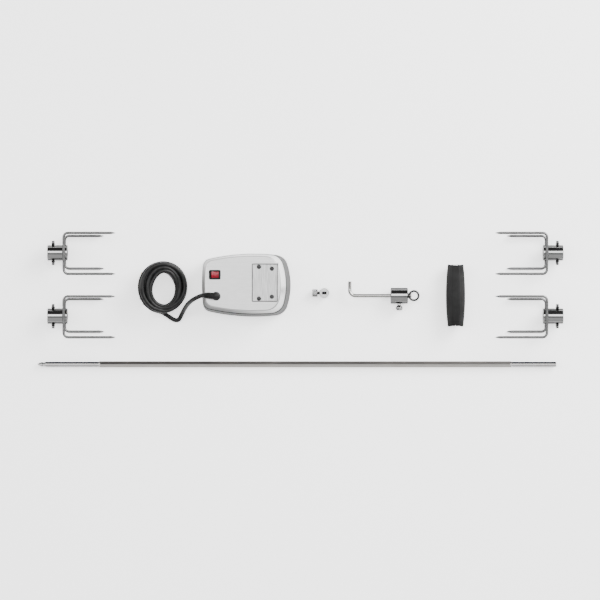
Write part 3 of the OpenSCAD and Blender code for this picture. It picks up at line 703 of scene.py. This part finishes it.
def make_cord_boot():
    """Right-angled boot with a flange, and a ribbed arm that tapers down onto the cord."""
    foot = Vector((*BOOT_AT, FACE_Z)) * MM
    arm_end = Vector((-151.6, 6.2, 61)) * MM
    top = Vector((*BOOT_AT, 61)) * MM
    bend = 4.5 * MM
    corner_steps, arm_steps = 12, 60
    low = top + (foot - top).normalized() * bend
    out = top + (arm_end - top).normalized() * bend
    corner = []
    for i in range(corner_steps + 1):
        t = i / corner_steps
        corner.append(low * (1 - t) ** 2 + top * 2 * t * (1 - t) + out * t * t)
    arm = [corner[-1].lerp(arm_end, i / arm_steps) for i in range(1, arm_steps + 1)]
    path = [foot + Vector((0, 0, -1 * MM)), foot + Vector((0, 0, 0.5 * MM))] + corner + arm
    arm_from = 2 + len(corner)

    def radius(i, turn):
        if i < arm_from:
            return mix(6.1, 5.5, i / arm_from) * MM
        t = (i - arm_from) / arm_steps
        rib = 0.5 * MM if t > 0.3 and (t * 9) % 1 > 0.45 else 0.0
        return mix(5.4, 4.2, t) * MM + rib * (1 - 0.4 * t)

    mesh = tube(path, radius, 36, up=Vector((0, 1, 0)))
    sleeve = add_mesh("cord_boot_sleeve", *mesh, "motor_unit", "boot_rubber", 50, ("cord_boot",))
    profile = ((0, -0.4), (6.6, -0.4), (6.9, 0.0), (7.0, 0.5), (6.8, 1.1), (6.2, 1.5), (0, 1.6))
    mesh = lathe([(r * MM, z * MM) for r, z in profile], 48, Matrix.Translation(foot))
    return sleeve, add_mesh("cord_boot_flange", *mesh, "motor_unit", "boot_rubber", 40)


cord_piece, cord_length, cord_exit = make_cord()
plug_body_piece, plug_boot_piece = make_plug()
boot_sleeve, boot_flange = make_cord_boot()

dress_cad_nodes()


# ---------------------------------------------------------------- housing
def mixed(a, b, t):
    """Insets between two levels' insets."""
    return tuple(mix(x, y, t) for x, y in zip(a, b))


def grown(inset, by):
    """Insets moved further in on all four sides."""
    return tuple(x + by for x in inset)


def arc_points(centre, radius, first, last, count):
    """Points anticlockwise round a centre, from the direction of first up to that of last."""
    start, end = math.atan2(first.y, first.x), math.atan2(last.y, last.x)
    if end < start:
        end += 2 * math.pi
    angles = [mix(start, end, k / count) for k in range(count)]
    return [centre + Vector((math.cos(a), math.sin(a))) * radius for a in angles]


def housing_outline(inset, z, arc=24, corner_arc=10):
    """Points round the housing at one level, in metres: four long arcs joined by fillets."""
    left = -BODY_W / 2 + inset[0]
    right = BODY_W / 2 - inset[1]
    top = BODY_H / 2 - inset[2]
    bottom = -BODY_H / 2 + inset[3]
    circles = [(Vector((right - SIDE_R[1], 0)), SIDE_R[1]), (Vector((BULGE_X, top - BULGE_R)), BULGE_R),
               (Vector((left + SIDE_R[0], 0)), SIDE_R[0]), (Vector((BULGE_X, bottom + BULGE_R)), BULGE_R)]
    corners = ((1, 1, CORNER_R[1]), (-1, 1, CORNER_R[0]), (-1, -1, CORNER_R[0]), (1, -1, CORNER_R[1]))
    centres = []
    for i, (sx, sy, radius) in enumerate(corners):
        (c1, r1), (c2, r2) = circles[i], circles[(i + 1) % 4]
        r1, r2 = r1 - radius, r2 - radius
        gap = (c2 - c1).length
        along = (r1 * r1 - r2 * r2 + gap * gap) / (2 * gap)
        off = math.sqrt(r1 * r1 - along * along)
        unit = (c2 - c1) / gap
        normal = Vector((-unit.y, unit.x))
        options = [c1 + unit * along + normal * off, c1 + unit * along - normal * off]
        centres.append((max(options, key=lambda p: p.x * sx + p.y * sy), radius))
    points = []
    for i in range(4):
        side, side_radius = circles[i]
        before, _ = centres[i - 1]
        after, radius = centres[i]
        points += arc_points(side, side_radius, before - side, after - side, arc)
        points += arc_points(after, radius, after - side, after - circles[(i + 1) % 4][0], corner_arc)
    return [Vector((p.x + BODY_AT.x, p.y + BODY_AT.y, z)) * MM for p in points]


def box_cutter(centre, size, z0, z1, corner=0.6):
    """Upright block with rounded corners, in millimetres."""
    points = corner_arcs(size[0] / 2, size[1] / 2, corner, corner, 4)
    levels = [[Vector((centre.x + x, centre.y + y, z)) * MM for x, y in points] for z in (z0, z1)]
    return plain_object("cutter", *loft(levels))


def round_cutter(centre, radius, z0, z1, sides=48):
    place = Matrix.Translation(Vector((centre.x, centre.y, 0)) * MM)
    profile = [(0, z0 * MM), (radius * MM, z0 * MM), (radius * MM, z1 * MM), (0, z1 * MM)]
    return plain_object("cutter", *lathe(profile, sides, place))


def rounded_steps(low_in, high_in, z0, z1, steps):
    """Levels of a quarter-round edge that starts upright at z0 and ends flat at z1."""
    out = []
    for i in range(1, steps + 1):
        a = math.pi / 2 * i / steps
        out.append((mixed(low_in, high_in, 1 - math.cos(a)), mix(z0, z1, math.sin(a))))
    return out


def bevel_edges(piece, width, angle=40):
    modifier = piece.modifiers.new("bevel", "BEVEL")
    modifier.width = width
    modifier.segments = 2
    modifier.limit_method = "ANGLE"
    modifier.angle_limit = math.radians(angle)
    modifier.use_clamp_overlap = True
    apply_modifiers(piece)


def make_front_cover():
    """Drawn cover with a bulged slope, a rolled face edge, the recess and the openings in its face."""
    outside = [(mixed(RIM_IN, SHOULDER_IN, -0.02), RIM_Z), (RIM_IN, RIM_Z + 0.6)]
    for t in (0.15, 0.3, 0.45, 0.6, 0.75, 0.9, 1.0):
        bulge = 0.035 * math.sin(math.pi * t)
        outside.append((mixed(RIM_IN, SHOULDER_IN, t - bulge), mix(RIM_Z + 0.6, FACE_Z - 2, t)))
    outside += rounded_steps(SHOULDER_IN, FACE_IN, FACE_Z - 2, FACE_Z, 7)
    inside = [(grown(RIM_IN, SHEET), RIM_Z), (grown(mixed(RIM_IN, SHOULDER_IN, 0.5), SHEET), 44),
              (grown(SHOULDER_IN, SHEET), FACE_Z - SHEET - 0.6),
              (grown(SHOULDER_IN, SHEET + 1), FACE_Z - SHEET)]
    cover = plain_object("front_cover_shell", *loft([housing_outline(i, z) for i, z in outside]))
    cut(cover, plain_object("cutter", *loft([housing_outline(inside[0][0], RIM_Z - 2)]
                                             + [housing_outline(i, z) for i, z in inside[1:]])))
    cut(cover, box_cutter(DRIVE_AT, (POCKET[0] + 3, POCKET[1] + 3), 48.5, 54.2, 2), "UNION")
    cut(cover, box_cutter(DRIVE_AT, POCKET, 50.0, 56.0, 1.2))
    cut(cover, box_cutter(SWITCH_AT, (16.6, 13.2), 52.0, 56.0, 0.8))
    cut(cover, round_cutter(BOOT_AT, 4.6, 52.0, 56.0))
    bevel_edges(cover, 0.35 * MM)
    return finish_piece(cover, "motor_unit", "cover_steel", 30, ("front_cover",))


def make_rear_housing():
    """Deep back shell with a rounded floor edge and an opening for the drive socket."""
    edge = 1.6
    outside = [(grown(BASE_IN, edge), FLOOR_Z)]
    for i in range(1, 6):
        a = math.pi / 2 * i / 5
        outside.append((grown(BASE_IN, edge * (1 - math.sin(a))), FLOOR_Z + edge * (1 - math.cos(a))))
    for t in (0.2, 0.4, 0.6, 0.8, 1.0):
        hollow = 0.02 * math.sin(math.pi * t)
        outside.append((mixed(BASE_IN, REAR_TOP_IN, t + hollow), mix(FLOOR_Z + edge, SEAM_Z - 0.8, t)))
    outside += [(grown(REAR_TOP_IN, 0.25), SEAM_Z - 0.25), (grown(REAR_TOP_IN, 0.8), SEAM_Z)]
    shell = plain_object("rear_housing_shell", *loft([housing_outline(i, z) for i, z in outside]))
    inside = [(grown(BASE_IN, SHEET + 1), FLOOR_Z + SHEET), (grown(BASE_IN, SHEET), FLOOR_Z + SHEET + 1.5),
              (grown(REAR_TOP_IN, SHEET), SEAM_Z - 0.5), (grown(REAR_TOP_IN, SHEET + 0.1), SEAM_Z + 2)]
    cut(shell, plain_object("cutter", *loft([housing_outline(i, z) for i, z in inside])))
    cut(shell, round_cutter(DRIVE_AT, 11.0, 3.0, 8.0))
    bevel_edges(shell, 0.25 * MM, 50)
    return finish_piece(shell, "motor_unit", "housing_grey", 30, ("rear_housing",))


make_front_cover()
make_rear_housing()


# ---------------------------------------------------------------- face plate and switch
PLATE_HOLES = ((-9.3, 25.3), (-9.3, -25.3), (11.2, 22.3), (11.2, -22.3))
PLATE_LOW_Z, PLATE_TOP_Z = 50.0, 53.0
PLATE_GAP = 1.0
HEAD_Z = 50.8
HEAD_D = 7.0


def make_cover_plate():
    """Pressed plate in the recess, with rolled edges and a counterbore for each screw."""
    thick = PLATE_TOP_Z - PLATE_LOW_Z
    centre = Vector((DRIVE_AT.x, DRIVE_AT.y, PLATE_LOW_Z + thick / 2)) * MM
    size = ((POCKET[0] - 2 * PLATE_GAP) * MM, (POCKET[1] - 2 * PLATE_GAP) * MM, thick * MM)
    plate = plain_object("cover_plate_pressing", *soft_box(centre, size, 1.5 * MM, 0.6 * MM))
    for hole in PLATE_HOLES:
        cut(plate, round_cutter(DRIVE_AT + Vector(hole), HEAD_D / 2 + 0.35, HEAD_Z + 0.6, PLATE_TOP_Z + 1))
        cut(plate, round_cutter(DRIVE_AT + Vector(hole), 1.7, PLATE_LOW_Z - 1, PLATE_TOP_Z))
    bevel_edges(plate, 0.3 * MM, 60)
    return finish_piece(plate, "motor_unit", "cover_steel", 30, ("drive_cover_plate",), "plate_steel")


def make_plate_screws():
    """Four domed cross-head screws, joined as one piece."""
    radius = HEAD_D / 2
    dome = [(0, -10.0), (1.5, -10.0), (1.5, 0.0), (radius - 0.2, 0.0), (radius, 0.25)]
    for i in range(6):
        a = math.radians(15 * i)
        dome.append((radius * math.cos(a), 0.8 + math.sin(a)))
    dome.append((0, 1.8))
    profile = [(x * MM, z * MM) for x, z in dome]
    places = [Vector((*(DRIVE_AT + Vector(hole)), 0)) * MM for hole in PLATE_HOLES]
    head = Vector((0, 0, HEAD_Z)) * MM
    heads = [lathe(profile, 40, Matrix.Translation(place + head)) for place in places]
    screws = plain_object("cover_plate_screw_heads", *joined(*heads))
    for index, place in enumerate(places):
        for turn in (0, 90):
            bar = box_cutter(Vector((0, 0)), (4.2, 0.95), HEAD_Z + 0.7, HEAD_Z + 3, 0.2)
            spin = math.radians(turn + 20 * index)
            bar.data.transform(Matrix.Translation(place) @ Matrix.Rotation(spin, 4, "Z"))
            cut(screws, bar)
    return finish_piece(screws, "motor_unit", "dark_steel", 35, ("cover_plate_screws",))


def make_switch():
    """Bezel with rolled edges round a deep well, and a dished see-through rocker in it."""
    bezel_centre = Vector((SWITCH_AT.x, SWITCH_AT.y, 56.0)) * MM
    bezel = Vector((18.6, 15.4, 2)) * MM
    case = plain_object("switch_moulding", *soft_box(bezel_centre, bezel, 2.2 * MM, 0.7 * MM))
    cut(case, box_cutter(SWITCH_AT, (16.4, 13.0), 41.0, 55.4, 0.8), "UNION")
    cut(case, box_cutter(SWITCH_AT, (13.6, 10.6), 47.5, 58.0, 0.7))
    bevel_edges(case, 0.3 * MM, 60)
    finish_piece(case, "motor_unit", "switch_black", 35, ("switch_case",))

    length, width = 12.0, 9.9
    top = [Vector((mix(-length / 2, length / 2, i / 16), 0)) for i in range(17)]
    outline = [(p.x, 2.7 + 0.9 * (2 * p.x / length) ** 2) for p in top]
    outline += [(6, -1), (2.6, -4), (-2.6, -4), (-6, -1)]
    levels = []
    tilt = Matrix.Rotation(math.radians(10), 4, "Y")
    for y in (-width / 2, width / 2):
        levels.append([Vector((SWITCH_AT.x, SWITCH_AT.y, 54.0)) * MM + (tilt @ Vector((x, y, z))) * MM
                       for x, z in outline])
    rocker = plain_object("rocker_paddle", *loft(levels))
    bevel_edges(rocker, 0.5 * MM, 50)
    return finish_piece(rocker, "rocker", "rocker_red", 35, ("switch_rocker",))


make_cover_plate()
make_plate_screws()
make_switch()


# ---------------------------------------------------------------- screws, arm and eye
M5, M5_PITCH = 5.0, 0.8
KNURL_ANGLE = 2.2    # radians that a knurl's groove turns in each mm of height
ARM_Y, ARM_Z = 5.6, 12.7
ARM_D = 5.5
CORNER_X, ARM_BEND = 79.7, 9.0
ARM_TOP, LEG_THREAD = 28.5, 11.5
THREAD_FROM, THREAD_TO = 168.6, 178.8
COLLAR_KNOB_AT, COLLAR_SHANK_AT = (19.6, 9.9, 6.5), (27.7, 9.9, 6.5)
WEIGHT_R, WEIGHT_SCREW_X = 12.7, 158.9


def frame_matrix(origin, along, up=Vector((0, 0, 1))):
    """Matrix whose Z runs along a direction from an origin given in millimetres."""
    z = Vector(along).normalized()
    x = Vector(up).cross(z)
    if x.length < 1e-6:
        x = Vector((0, 1, 0)).cross(z)
    x.normalize()
    y = z.cross(x)
    turn = Matrix((x, y, z)).transposed().to_4x4()
    return Matrix.Translation(Vector(origin) * MM) @ turn


def turned(place, levels, sides, shape):
    """Closed solid along the Z of place, from heights and the radius that shape(height, turn) gives."""
    verts = []
    for z in levels:
        for k in range(sides):
            a = 2 * math.pi * k / sides
            r = shape(z, k / sides)
            verts.append(place @ (Vector((r * math.cos(a), r * math.sin(a), z)) * MM))
    return verts, band_faces(len(levels), sides)


def thread_radius(radius, pitch, z, turn, depth=0.36):
    """Radius of a helical thread at a height and a share of a turn."""
    wave = (z / pitch - turn) % 1.0
    return radius - depth * abs(2 * wave - 1)


def threaded_bar(place, length, diameter=M5, pitch=M5_PITCH, sides=24, lead=0.8):
    """Bar with a helical thread and a chamfered far end."""
    count = int(length / pitch * 6)
    levels = [length * i / count for i in range(count + 1)]

    def shape(z, turn):
        limit = diameter / 2 - 0.6 * max(0.0, 1 - (length - z) / lead)
        return min(limit, thread_radius(diameter / 2, pitch, z, turn))

    return turned(place, levels, sides, shape)


def stadium_wing(place, width, height, thick, edge=0.7, arc=14):
    """Spade head: a long round-ended outline with rolled edges, standing on the place's Z."""
    levels = []
    steps = 5
    ramp = []
    for i in range(steps + 1):
        a = math.pi / 2 * i / steps
        ramp.append((-thick / 2 + edge * (1 - math.cos(a)), edge * (1 - math.sin(a))))
    ramp += [(-x, inset) for x, inset in reversed(ramp)]
    for x, inset in ramp:
        r = height / 2 - inset
        ring = []
        for end, start in ((1, -90), (-1, 90)):
            for k in range(arc + 1):
                a = math.radians(start + 180 * k / arc)
                ring.append(place @ (Vector((x, end * (width - height) / 2 + r * math.cos(a),
                                             height / 2 + r * math.sin(a))) * MM))
        levels.append(ring)
    return loft(levels)


HUB_D, HUB_BORE = 24.5, 11.5
PRONG_D = 4.0
LEVER = HUB_D / 2 + PRONG_D / 2 - 0.85
FORK_ROLL = math.radians(4.7)
SHORT_SPREAD = 52.4
FORK_Z = LEVER * math.cos(FORK_ROLL) + SHORT_SPREAD / 2 * math.sin(FORK_ROLL) + PRONG_D / 2
FORK_ROWS = (74.2, -27.1)
BAR_X = 26.6
FORK_SCREW_X = 9.0


def fork_matrix(i):
    right = i > 2
    at = Vector((421.0 if right else -404.0, FORK_ROWS[(i + 1) % 2], FORK_Z)) * MM
    turn = Matrix.Rotation(math.pi if right else 0, 4, "Z")
    return Matrix.Translation(at) @ turn @ Matrix.Rotation(-FORK_ROLL if right else FORK_ROLL, 4, "X")


def make_fork_screw(i, letter, side):
    """Spade-headed thumbscrew, threaded below its shoulder."""
    fork = fork_matrix(i)
    tip = HUB_BORE / 2 + 0.1
    head = HUB_D / 2 + 1.2
    inward = fork @ frame_matrix((FORK_SCREW_X, side * head, 0), (0, -side, 0))
    outward = fork @ frame_matrix((FORK_SCREW_X, side * (head + 0.15), 0), (0, side, 0))
    mesh = joined(threaded_bar(inward, head - tip),
                  turned(outward, (-0.1, 0.3, 0.9, 1.6), 28, lambda z, turn: 3.4 if z < 0.5 else 2.7),
                  stadium_wing(outward @ Matrix.Translation(Vector((0, 0, 0.3)) * MM), 13.0, 5.4, 3.8))
    body = f"fork_{i}_thumbscrew_{letter}"
    solid = f"fork_{i}_screw_{letter}"
    return add_mesh(f"{body}_turned", *mesh, body, "screw_chrome", 35, (solid,), "screw_satin")


def make_weld(i, name, level, length):
    """Rippled weld beads on both sides of a cross bar where it crosses the hub."""
    fork = fork_matrix(i)
    steps = 40
    meshes = []
    for side in (-1, 1):
        path = []
        for k in range(steps + 1):
            y = length * (k / steps - 0.5)
            height = math.sqrt(HUB_D ** 2 / 4 - y * y) + 0.15
            path.append(fork @ (Vector((BAR_X + side * 2.15, y, level * height)) * MM))

        def radius(k, turn):
            t = k / steps
            fade = math.sin(math.pi * min(max(t, 0.02), 0.98)) ** 0.4
            return (0.62 + 0.14 * math.sin(k * 2.4)) * fade * MM

        meshes.append(tube(path, radius, 12))
    return add_mesh(f"fork_{i}_weld_{name}", *joined(*meshes), f"fork_{i}", "prong_steel", 50)


def knurled(radius, count, depth, low, high):
    """Radius of a knurled rim that fades out towards its two edges."""
    def shape(z, turn):
        fade = min(1.0, max(0.0, (z - low) / 0.5)) * min(1.0, max(0.0, (high - z) / 0.5))
        a, b = count * math.pi * turn, z * KNURL_ANGLE
        return radius - depth * abs(math.sin(a + b)) * abs(math.sin(a - b)) * fade
    return shape


def make_collar_screw():
    """Knurled round knob on a threaded shank."""
    place = frame_matrix(COLLAR_KNOB_AT, (1, 0, 0))
    rim = knurled(5.9, 26, 0.4, 0.9, 7.4)
    levels = [0, 0.15, 0.5] + [0.9 + 6.5 * i / 30 for i in range(31)] + [7.9, 8.25, 8.4]

    def shape(z, turn):
        edge = 0.9 if z in (0, 8.4) else 0.35 if z in (0.15, 8.25) else 0.0
        return rim(z, turn) - edge

    shank = threaded_bar(frame_matrix(COLLAR_SHANK_AT, (1, 0, 0)), 15.0)
    mesh = joined(turned(place, levels, 156, shape), shank)
    return add_mesh("collar_knob_turned", *mesh, "collar_thumbscrew", "screw_chrome", 35, ("collar_screw",))


def make_weight_screw():
    """Round-nosed knurled knob with a waisted neck and a threaded shank."""
    surface = (WEIGHT_SCREW_X, ARM_Y - WEIGHT_R, ARM_Z)
    rim = knurled(5.3, 22, 0.35, 5.6, 8.9)
    count = 64
    levels = [10.8 * i / count for i in range(count + 1)]

    def shape(z, turn):
        if z < 2.6:
            return 2.5 + 0.25 * (z / 2.6) ** 3
        if z < 5.8:
            return mix(2.6, 5.3, smoothstep((z - 2.6) / 3.2))
        if z > 8.6:
            return max(5.3 - 2.4 * ((z - 8.6) / 2.2) ** 1.4, 0.4)
        return rim(z, turn)

    shank = threaded_bar(frame_matrix(surface, (0, 1, 0)), WEIGHT_R - ARM_D / 2 - 0.4)
    mesh = joined(turned(frame_matrix(surface, (0, -1, 0)), levels, 132, shape), shank)
    return add_mesh("weight_knob_turned", *mesh, "weight_thumbscrew", "screw_chrome", 35, ("weight_screw",))


def make_arm():
    """Cranked rod with a rolled thread on its short leg's end and on the end that screws into the eye."""
    step = 0.14
    leg, bends, straight = int((ARM_TOP - ARM_Y - ARM_BEND) / step), 32, 40
    end = int((THREAD_TO - THREAD_FROM) / step)
    path = [Vector((CORNER_X, ARM_TOP - step * i, ARM_Z)) for i in range(leg)]
    bend_at = Vector((CORNER_X + ARM_BEND, ARM_Y + ARM_BEND, ARM_Z))
    for i in range(bends + 1):
        a = math.pi + math.pi / 2 * i / bends
        path.append(bend_at + Vector((ARM_BEND * math.cos(a), ARM_BEND * math.sin(a), 0)))
    path += [Vector((mix(bend_at.x, THREAD_FROM, i / straight), ARM_Y, ARM_Z)) for i in range(1, straight)]
    eye_end = len(path)
    path += [Vector((THREAD_FROM + step * i, ARM_Y, ARM_Z)) for i in range(end + 1)]

    def radius(i, turn):
        base = ARM_D / 2
        if i < leg:
            y = path[i].y
            if y > ARM_TOP - LEG_THREAD:
                base = thread_radius(base, 0.9, y, turn, 0.4)
            base = min(base, ARM_D / 2 - 0.6 + 1.2 * step * i)
        elif i >= eye_end:
            chamfer = M5 / 2 - 0.5 + 0.6 * (len(path) - 1 - i) * step
            base = min(thread_radius(M5 / 2, M5_PITCH, path[i].x, turn), chamfer)
        return base * MM

    mesh = tube([p * MM for p in path], radius, 28)
    return add_mesh("arm_rod", *mesh, "counterbalance", "arm_steel", 40, ("balance_arm",))


EYE_X, EYE_R, EYE_WIRE = 182.6, 7.35, 1.7


def make_eye():
    """Forged eye on a tapped boss, with a soft fillet where they meet."""
    centre = Vector((EYE_X, ARM_Y, ARM_Z)) * MM
    verts, faces = [], []
    around, wire = 72, 20
    for i in range(around):
        a = 2 * math.pi * i / around
        thick = EYE_WIRE * (1 + 0.12 * math.exp(-((math.degrees(a) - 180) / 26) ** 2))
        for k in range(wire):
            b = 2 * math.pi * k / wire
            r = EYE_R + thick * math.cos(b)
            verts.append(centre + Vector((r * math.cos(a), r * math.sin(a), thick * math.sin(b))) * MM)
    for i in range(around):
        i2 = (i + 1) % around
        for k in range(wire):
            k2 = (k + 1) % wire
            faces.append((i * wire + k, i * wire + k2, i2 * wire + k2, i2 * wire + k))
    eye = plain_object("eye_forging", verts, faces)
    boss_from = 172.9
    place = frame_matrix((boss_from, ARM_Y, ARM_Z), (1, 0, 0))
    reach = EYE_X - EYE_R - boss_from

    def shape(z, turn):
        if z < 0.6:
            return 3.4 + z
        return mix(4.0, 2.4, smoothstep((z - reach * 0.35) / (reach * 0.9)))

    levels = [0, 0.3, 0.6] + [mix(0.9, reach + 0.6, i / 12) for i in range(13)]
    cut(eye, plain_object("cutter", *turned(place, levels, 40, shape)), "UNION")
    bore_place = frame_matrix((boss_from - 1, ARM_Y, ARM_Z), (1, 0, 0))
    bore_levels = (0, THREAD_TO - boss_from + 1.2)
    cut(eye, plain_object("cutter", *turned(bore_place, bore_levels, 32, lambda z, turn: M5 / 2 + 0.05)))
    return finish_piece(eye, "eye", "dark_steel", 40, ("balance_eye",))


for fork in FORKS:
    make_fork_screw(fork, "a", 1)
    make_fork_screw(fork, "b", -1)
    make_weld(fork, "upper", 1, 9.0)
    make_weld(fork, "lower", -1, 9.0)
make_collar_screw()
make_weight_screw()
make_arm()
make_eye()


# ---------------------------------------------------------------- handle grip
GRIP_AT = Vector((249, 6, 16.3))
GRIP_HALF = 50.0
GRIP_END_R, GRIP_MID_R = 13.25, 16.3
GRIP_BORE = ((11.0, -0.9), (7.4, -1.5), (6.6, -1.9), (6.52, -2.6))


def grip_radius(t):
    r = GRIP_END_R + (GRIP_MID_R - GRIP_END_R) * (1 - t * t)
    for place in (0.84, 0.90):
        r -= 0.3 * math.exp(-((abs(t) - place) / 0.012) ** 2)
    if abs(t) > 0.965:
        r -= 1.3 * ((abs(t) - 0.965) / 0.035) ** 2
    return r


def grip_ring(t, radius, y, dip, sides):
    """One ring of the grip: eight soft flats, and an end that dips between its two side flats."""
    ring = []
    for k in range(sides):
        a = 2 * math.pi * k / sides
        facet = math.cos(math.pi / 8) / math.cos((a + math.pi / 8) % (math.pi / 4) - math.pi / 8)
        r = radius * mix(1.0, facet, 0.7)
        dipped = y - math.copysign(dip * math.sin(a) ** 2 * smoothstep((abs(t) - 0.8) / 0.2), y if y else 1)
        ring.append((GRIP_AT + Vector((r * math.cos(a), dipped, r * math.sin(a)))) * MM)
    return ring


def make_grip():
    """Barrel grip with soft flats, two shallow rings near each end and the bore for its steel sleeve."""
    sides, rings, dip = 96, 90, 2.0
    levels = []
    for scale, depth in ((0.08, 0.9), (0.45, 0.8), (0.8, 0.3)):
        levels.append(grip_ring(-1, grip_radius(-1) * scale, -GRIP_HALF + depth, dip * 0.9, sides))
    for i in range(rings + 1):
        t = mix(-1, 1, i / rings)
        levels.append(grip_ring(t, grip_radius(t), t * GRIP_HALF, dip, sides))
    for r, depth in GRIP_BORE:
        levels.append(grip_ring(1, r, GRIP_HALF + depth, dip * 0.9 if r > 7 else 0.6, sides))
    turns = [2 * math.pi * k / sides for k in range(sides)]
    for r, y in ((6.52, -10.0), (4.12, -10.0), (4.12, -34.0)):
        levels.append([(GRIP_AT + Vector((r * math.cos(a), y, r * math.sin(a)))) * MM for a in turns])
    return add_mesh("grip_moulding", *loft(levels), "handle", "grip_plastic", 40, ("handle_grip",))


make_grip()


# ---------------------------------------------------------------- floor and light
def make_floor():
    bpy.ops.mesh.primitive_plane_add(size=14, location=(0, 0, -0.0005))
    floor = bpy.context.object
    floor.name = "floor"
    s = Shader("floor_white").set(roughness=0.9, specular=0.1)
    s.colour(s.ramp(s.noise((2, 2, 2), 2.0), ((0.3, grey(0.93)), (0.7, grey(0.95)))))
    s.bsdf.inputs["Emission Color"].default_value = (1, 1, 1, 1)
    s.bsdf.inputs["Emission Strength"].default_value = 1.3
    floor.data.materials.append(s.material)


def area_light(name, place, target, size, power):
    data = bpy.data.lights.new(name, "AREA")
    data.shape = "RECTANGLE"
    data.size, data.size_y = size
    data.energy = power
    lamp = bpy.data.objects.new(name, data)
    bpy.context.scene.collection.objects.link(lamp)
    lamp.location = place
    direction = Vector(target) - Vector(place)
    lamp.rotation_euler = direction.to_track_quat("-Z", "Y").to_euler()


SKY = 5.2


def make_world():
    """Studio surround: one broad soft strip beyond the top, a dark flag past it and grey elsewhere."""
    world = bpy.data.worlds.new("studio")
    bpy.context.scene.world = world
    world.use_nodes = True
    nodes, links = world.node_tree.nodes, world.node_tree.links
    coords = nodes.new("ShaderNodeTexCoord")
    split = nodes.new("ShaderNodeSeparateXYZ")
    links.new(coords.outputs["Generated"], split.inputs["Vector"])
    ramp = nodes.new("ShaderNodeValToRGB")
    shift = nodes.new("ShaderNodeMapRange")
    shift.inputs["From Min"].default_value = -1
    shift.inputs["From Max"].default_value = 1
    links.new(split.outputs["Y"], shift.inputs["Value"])
    links.new(shift.outputs["Result"], ramp.inputs["Fac"])
    # brightness across the sky from the near side (0) over the top (0.5) to the far side (1)
    stops = ((0.0, 0.17), (0.26, 0.18), (0.33, 0.07), (0.47, 0.07), (0.535, 1.0), (0.70, 1.0),
             (0.74, 0.012), (0.97, 0.012), (1.0, 0.02))
    fill_ramp(ramp, greys(stops))
    background = nodes["Background"]
    links.new(ramp.outputs["Color"], background.inputs["Color"])
    background.inputs["Strength"].default_value = SKY


make_floor()
make_world()
area_light("key", (1.7, 1.5, 1.25), (0, 0, 0), (1.3, 1.3), 110)
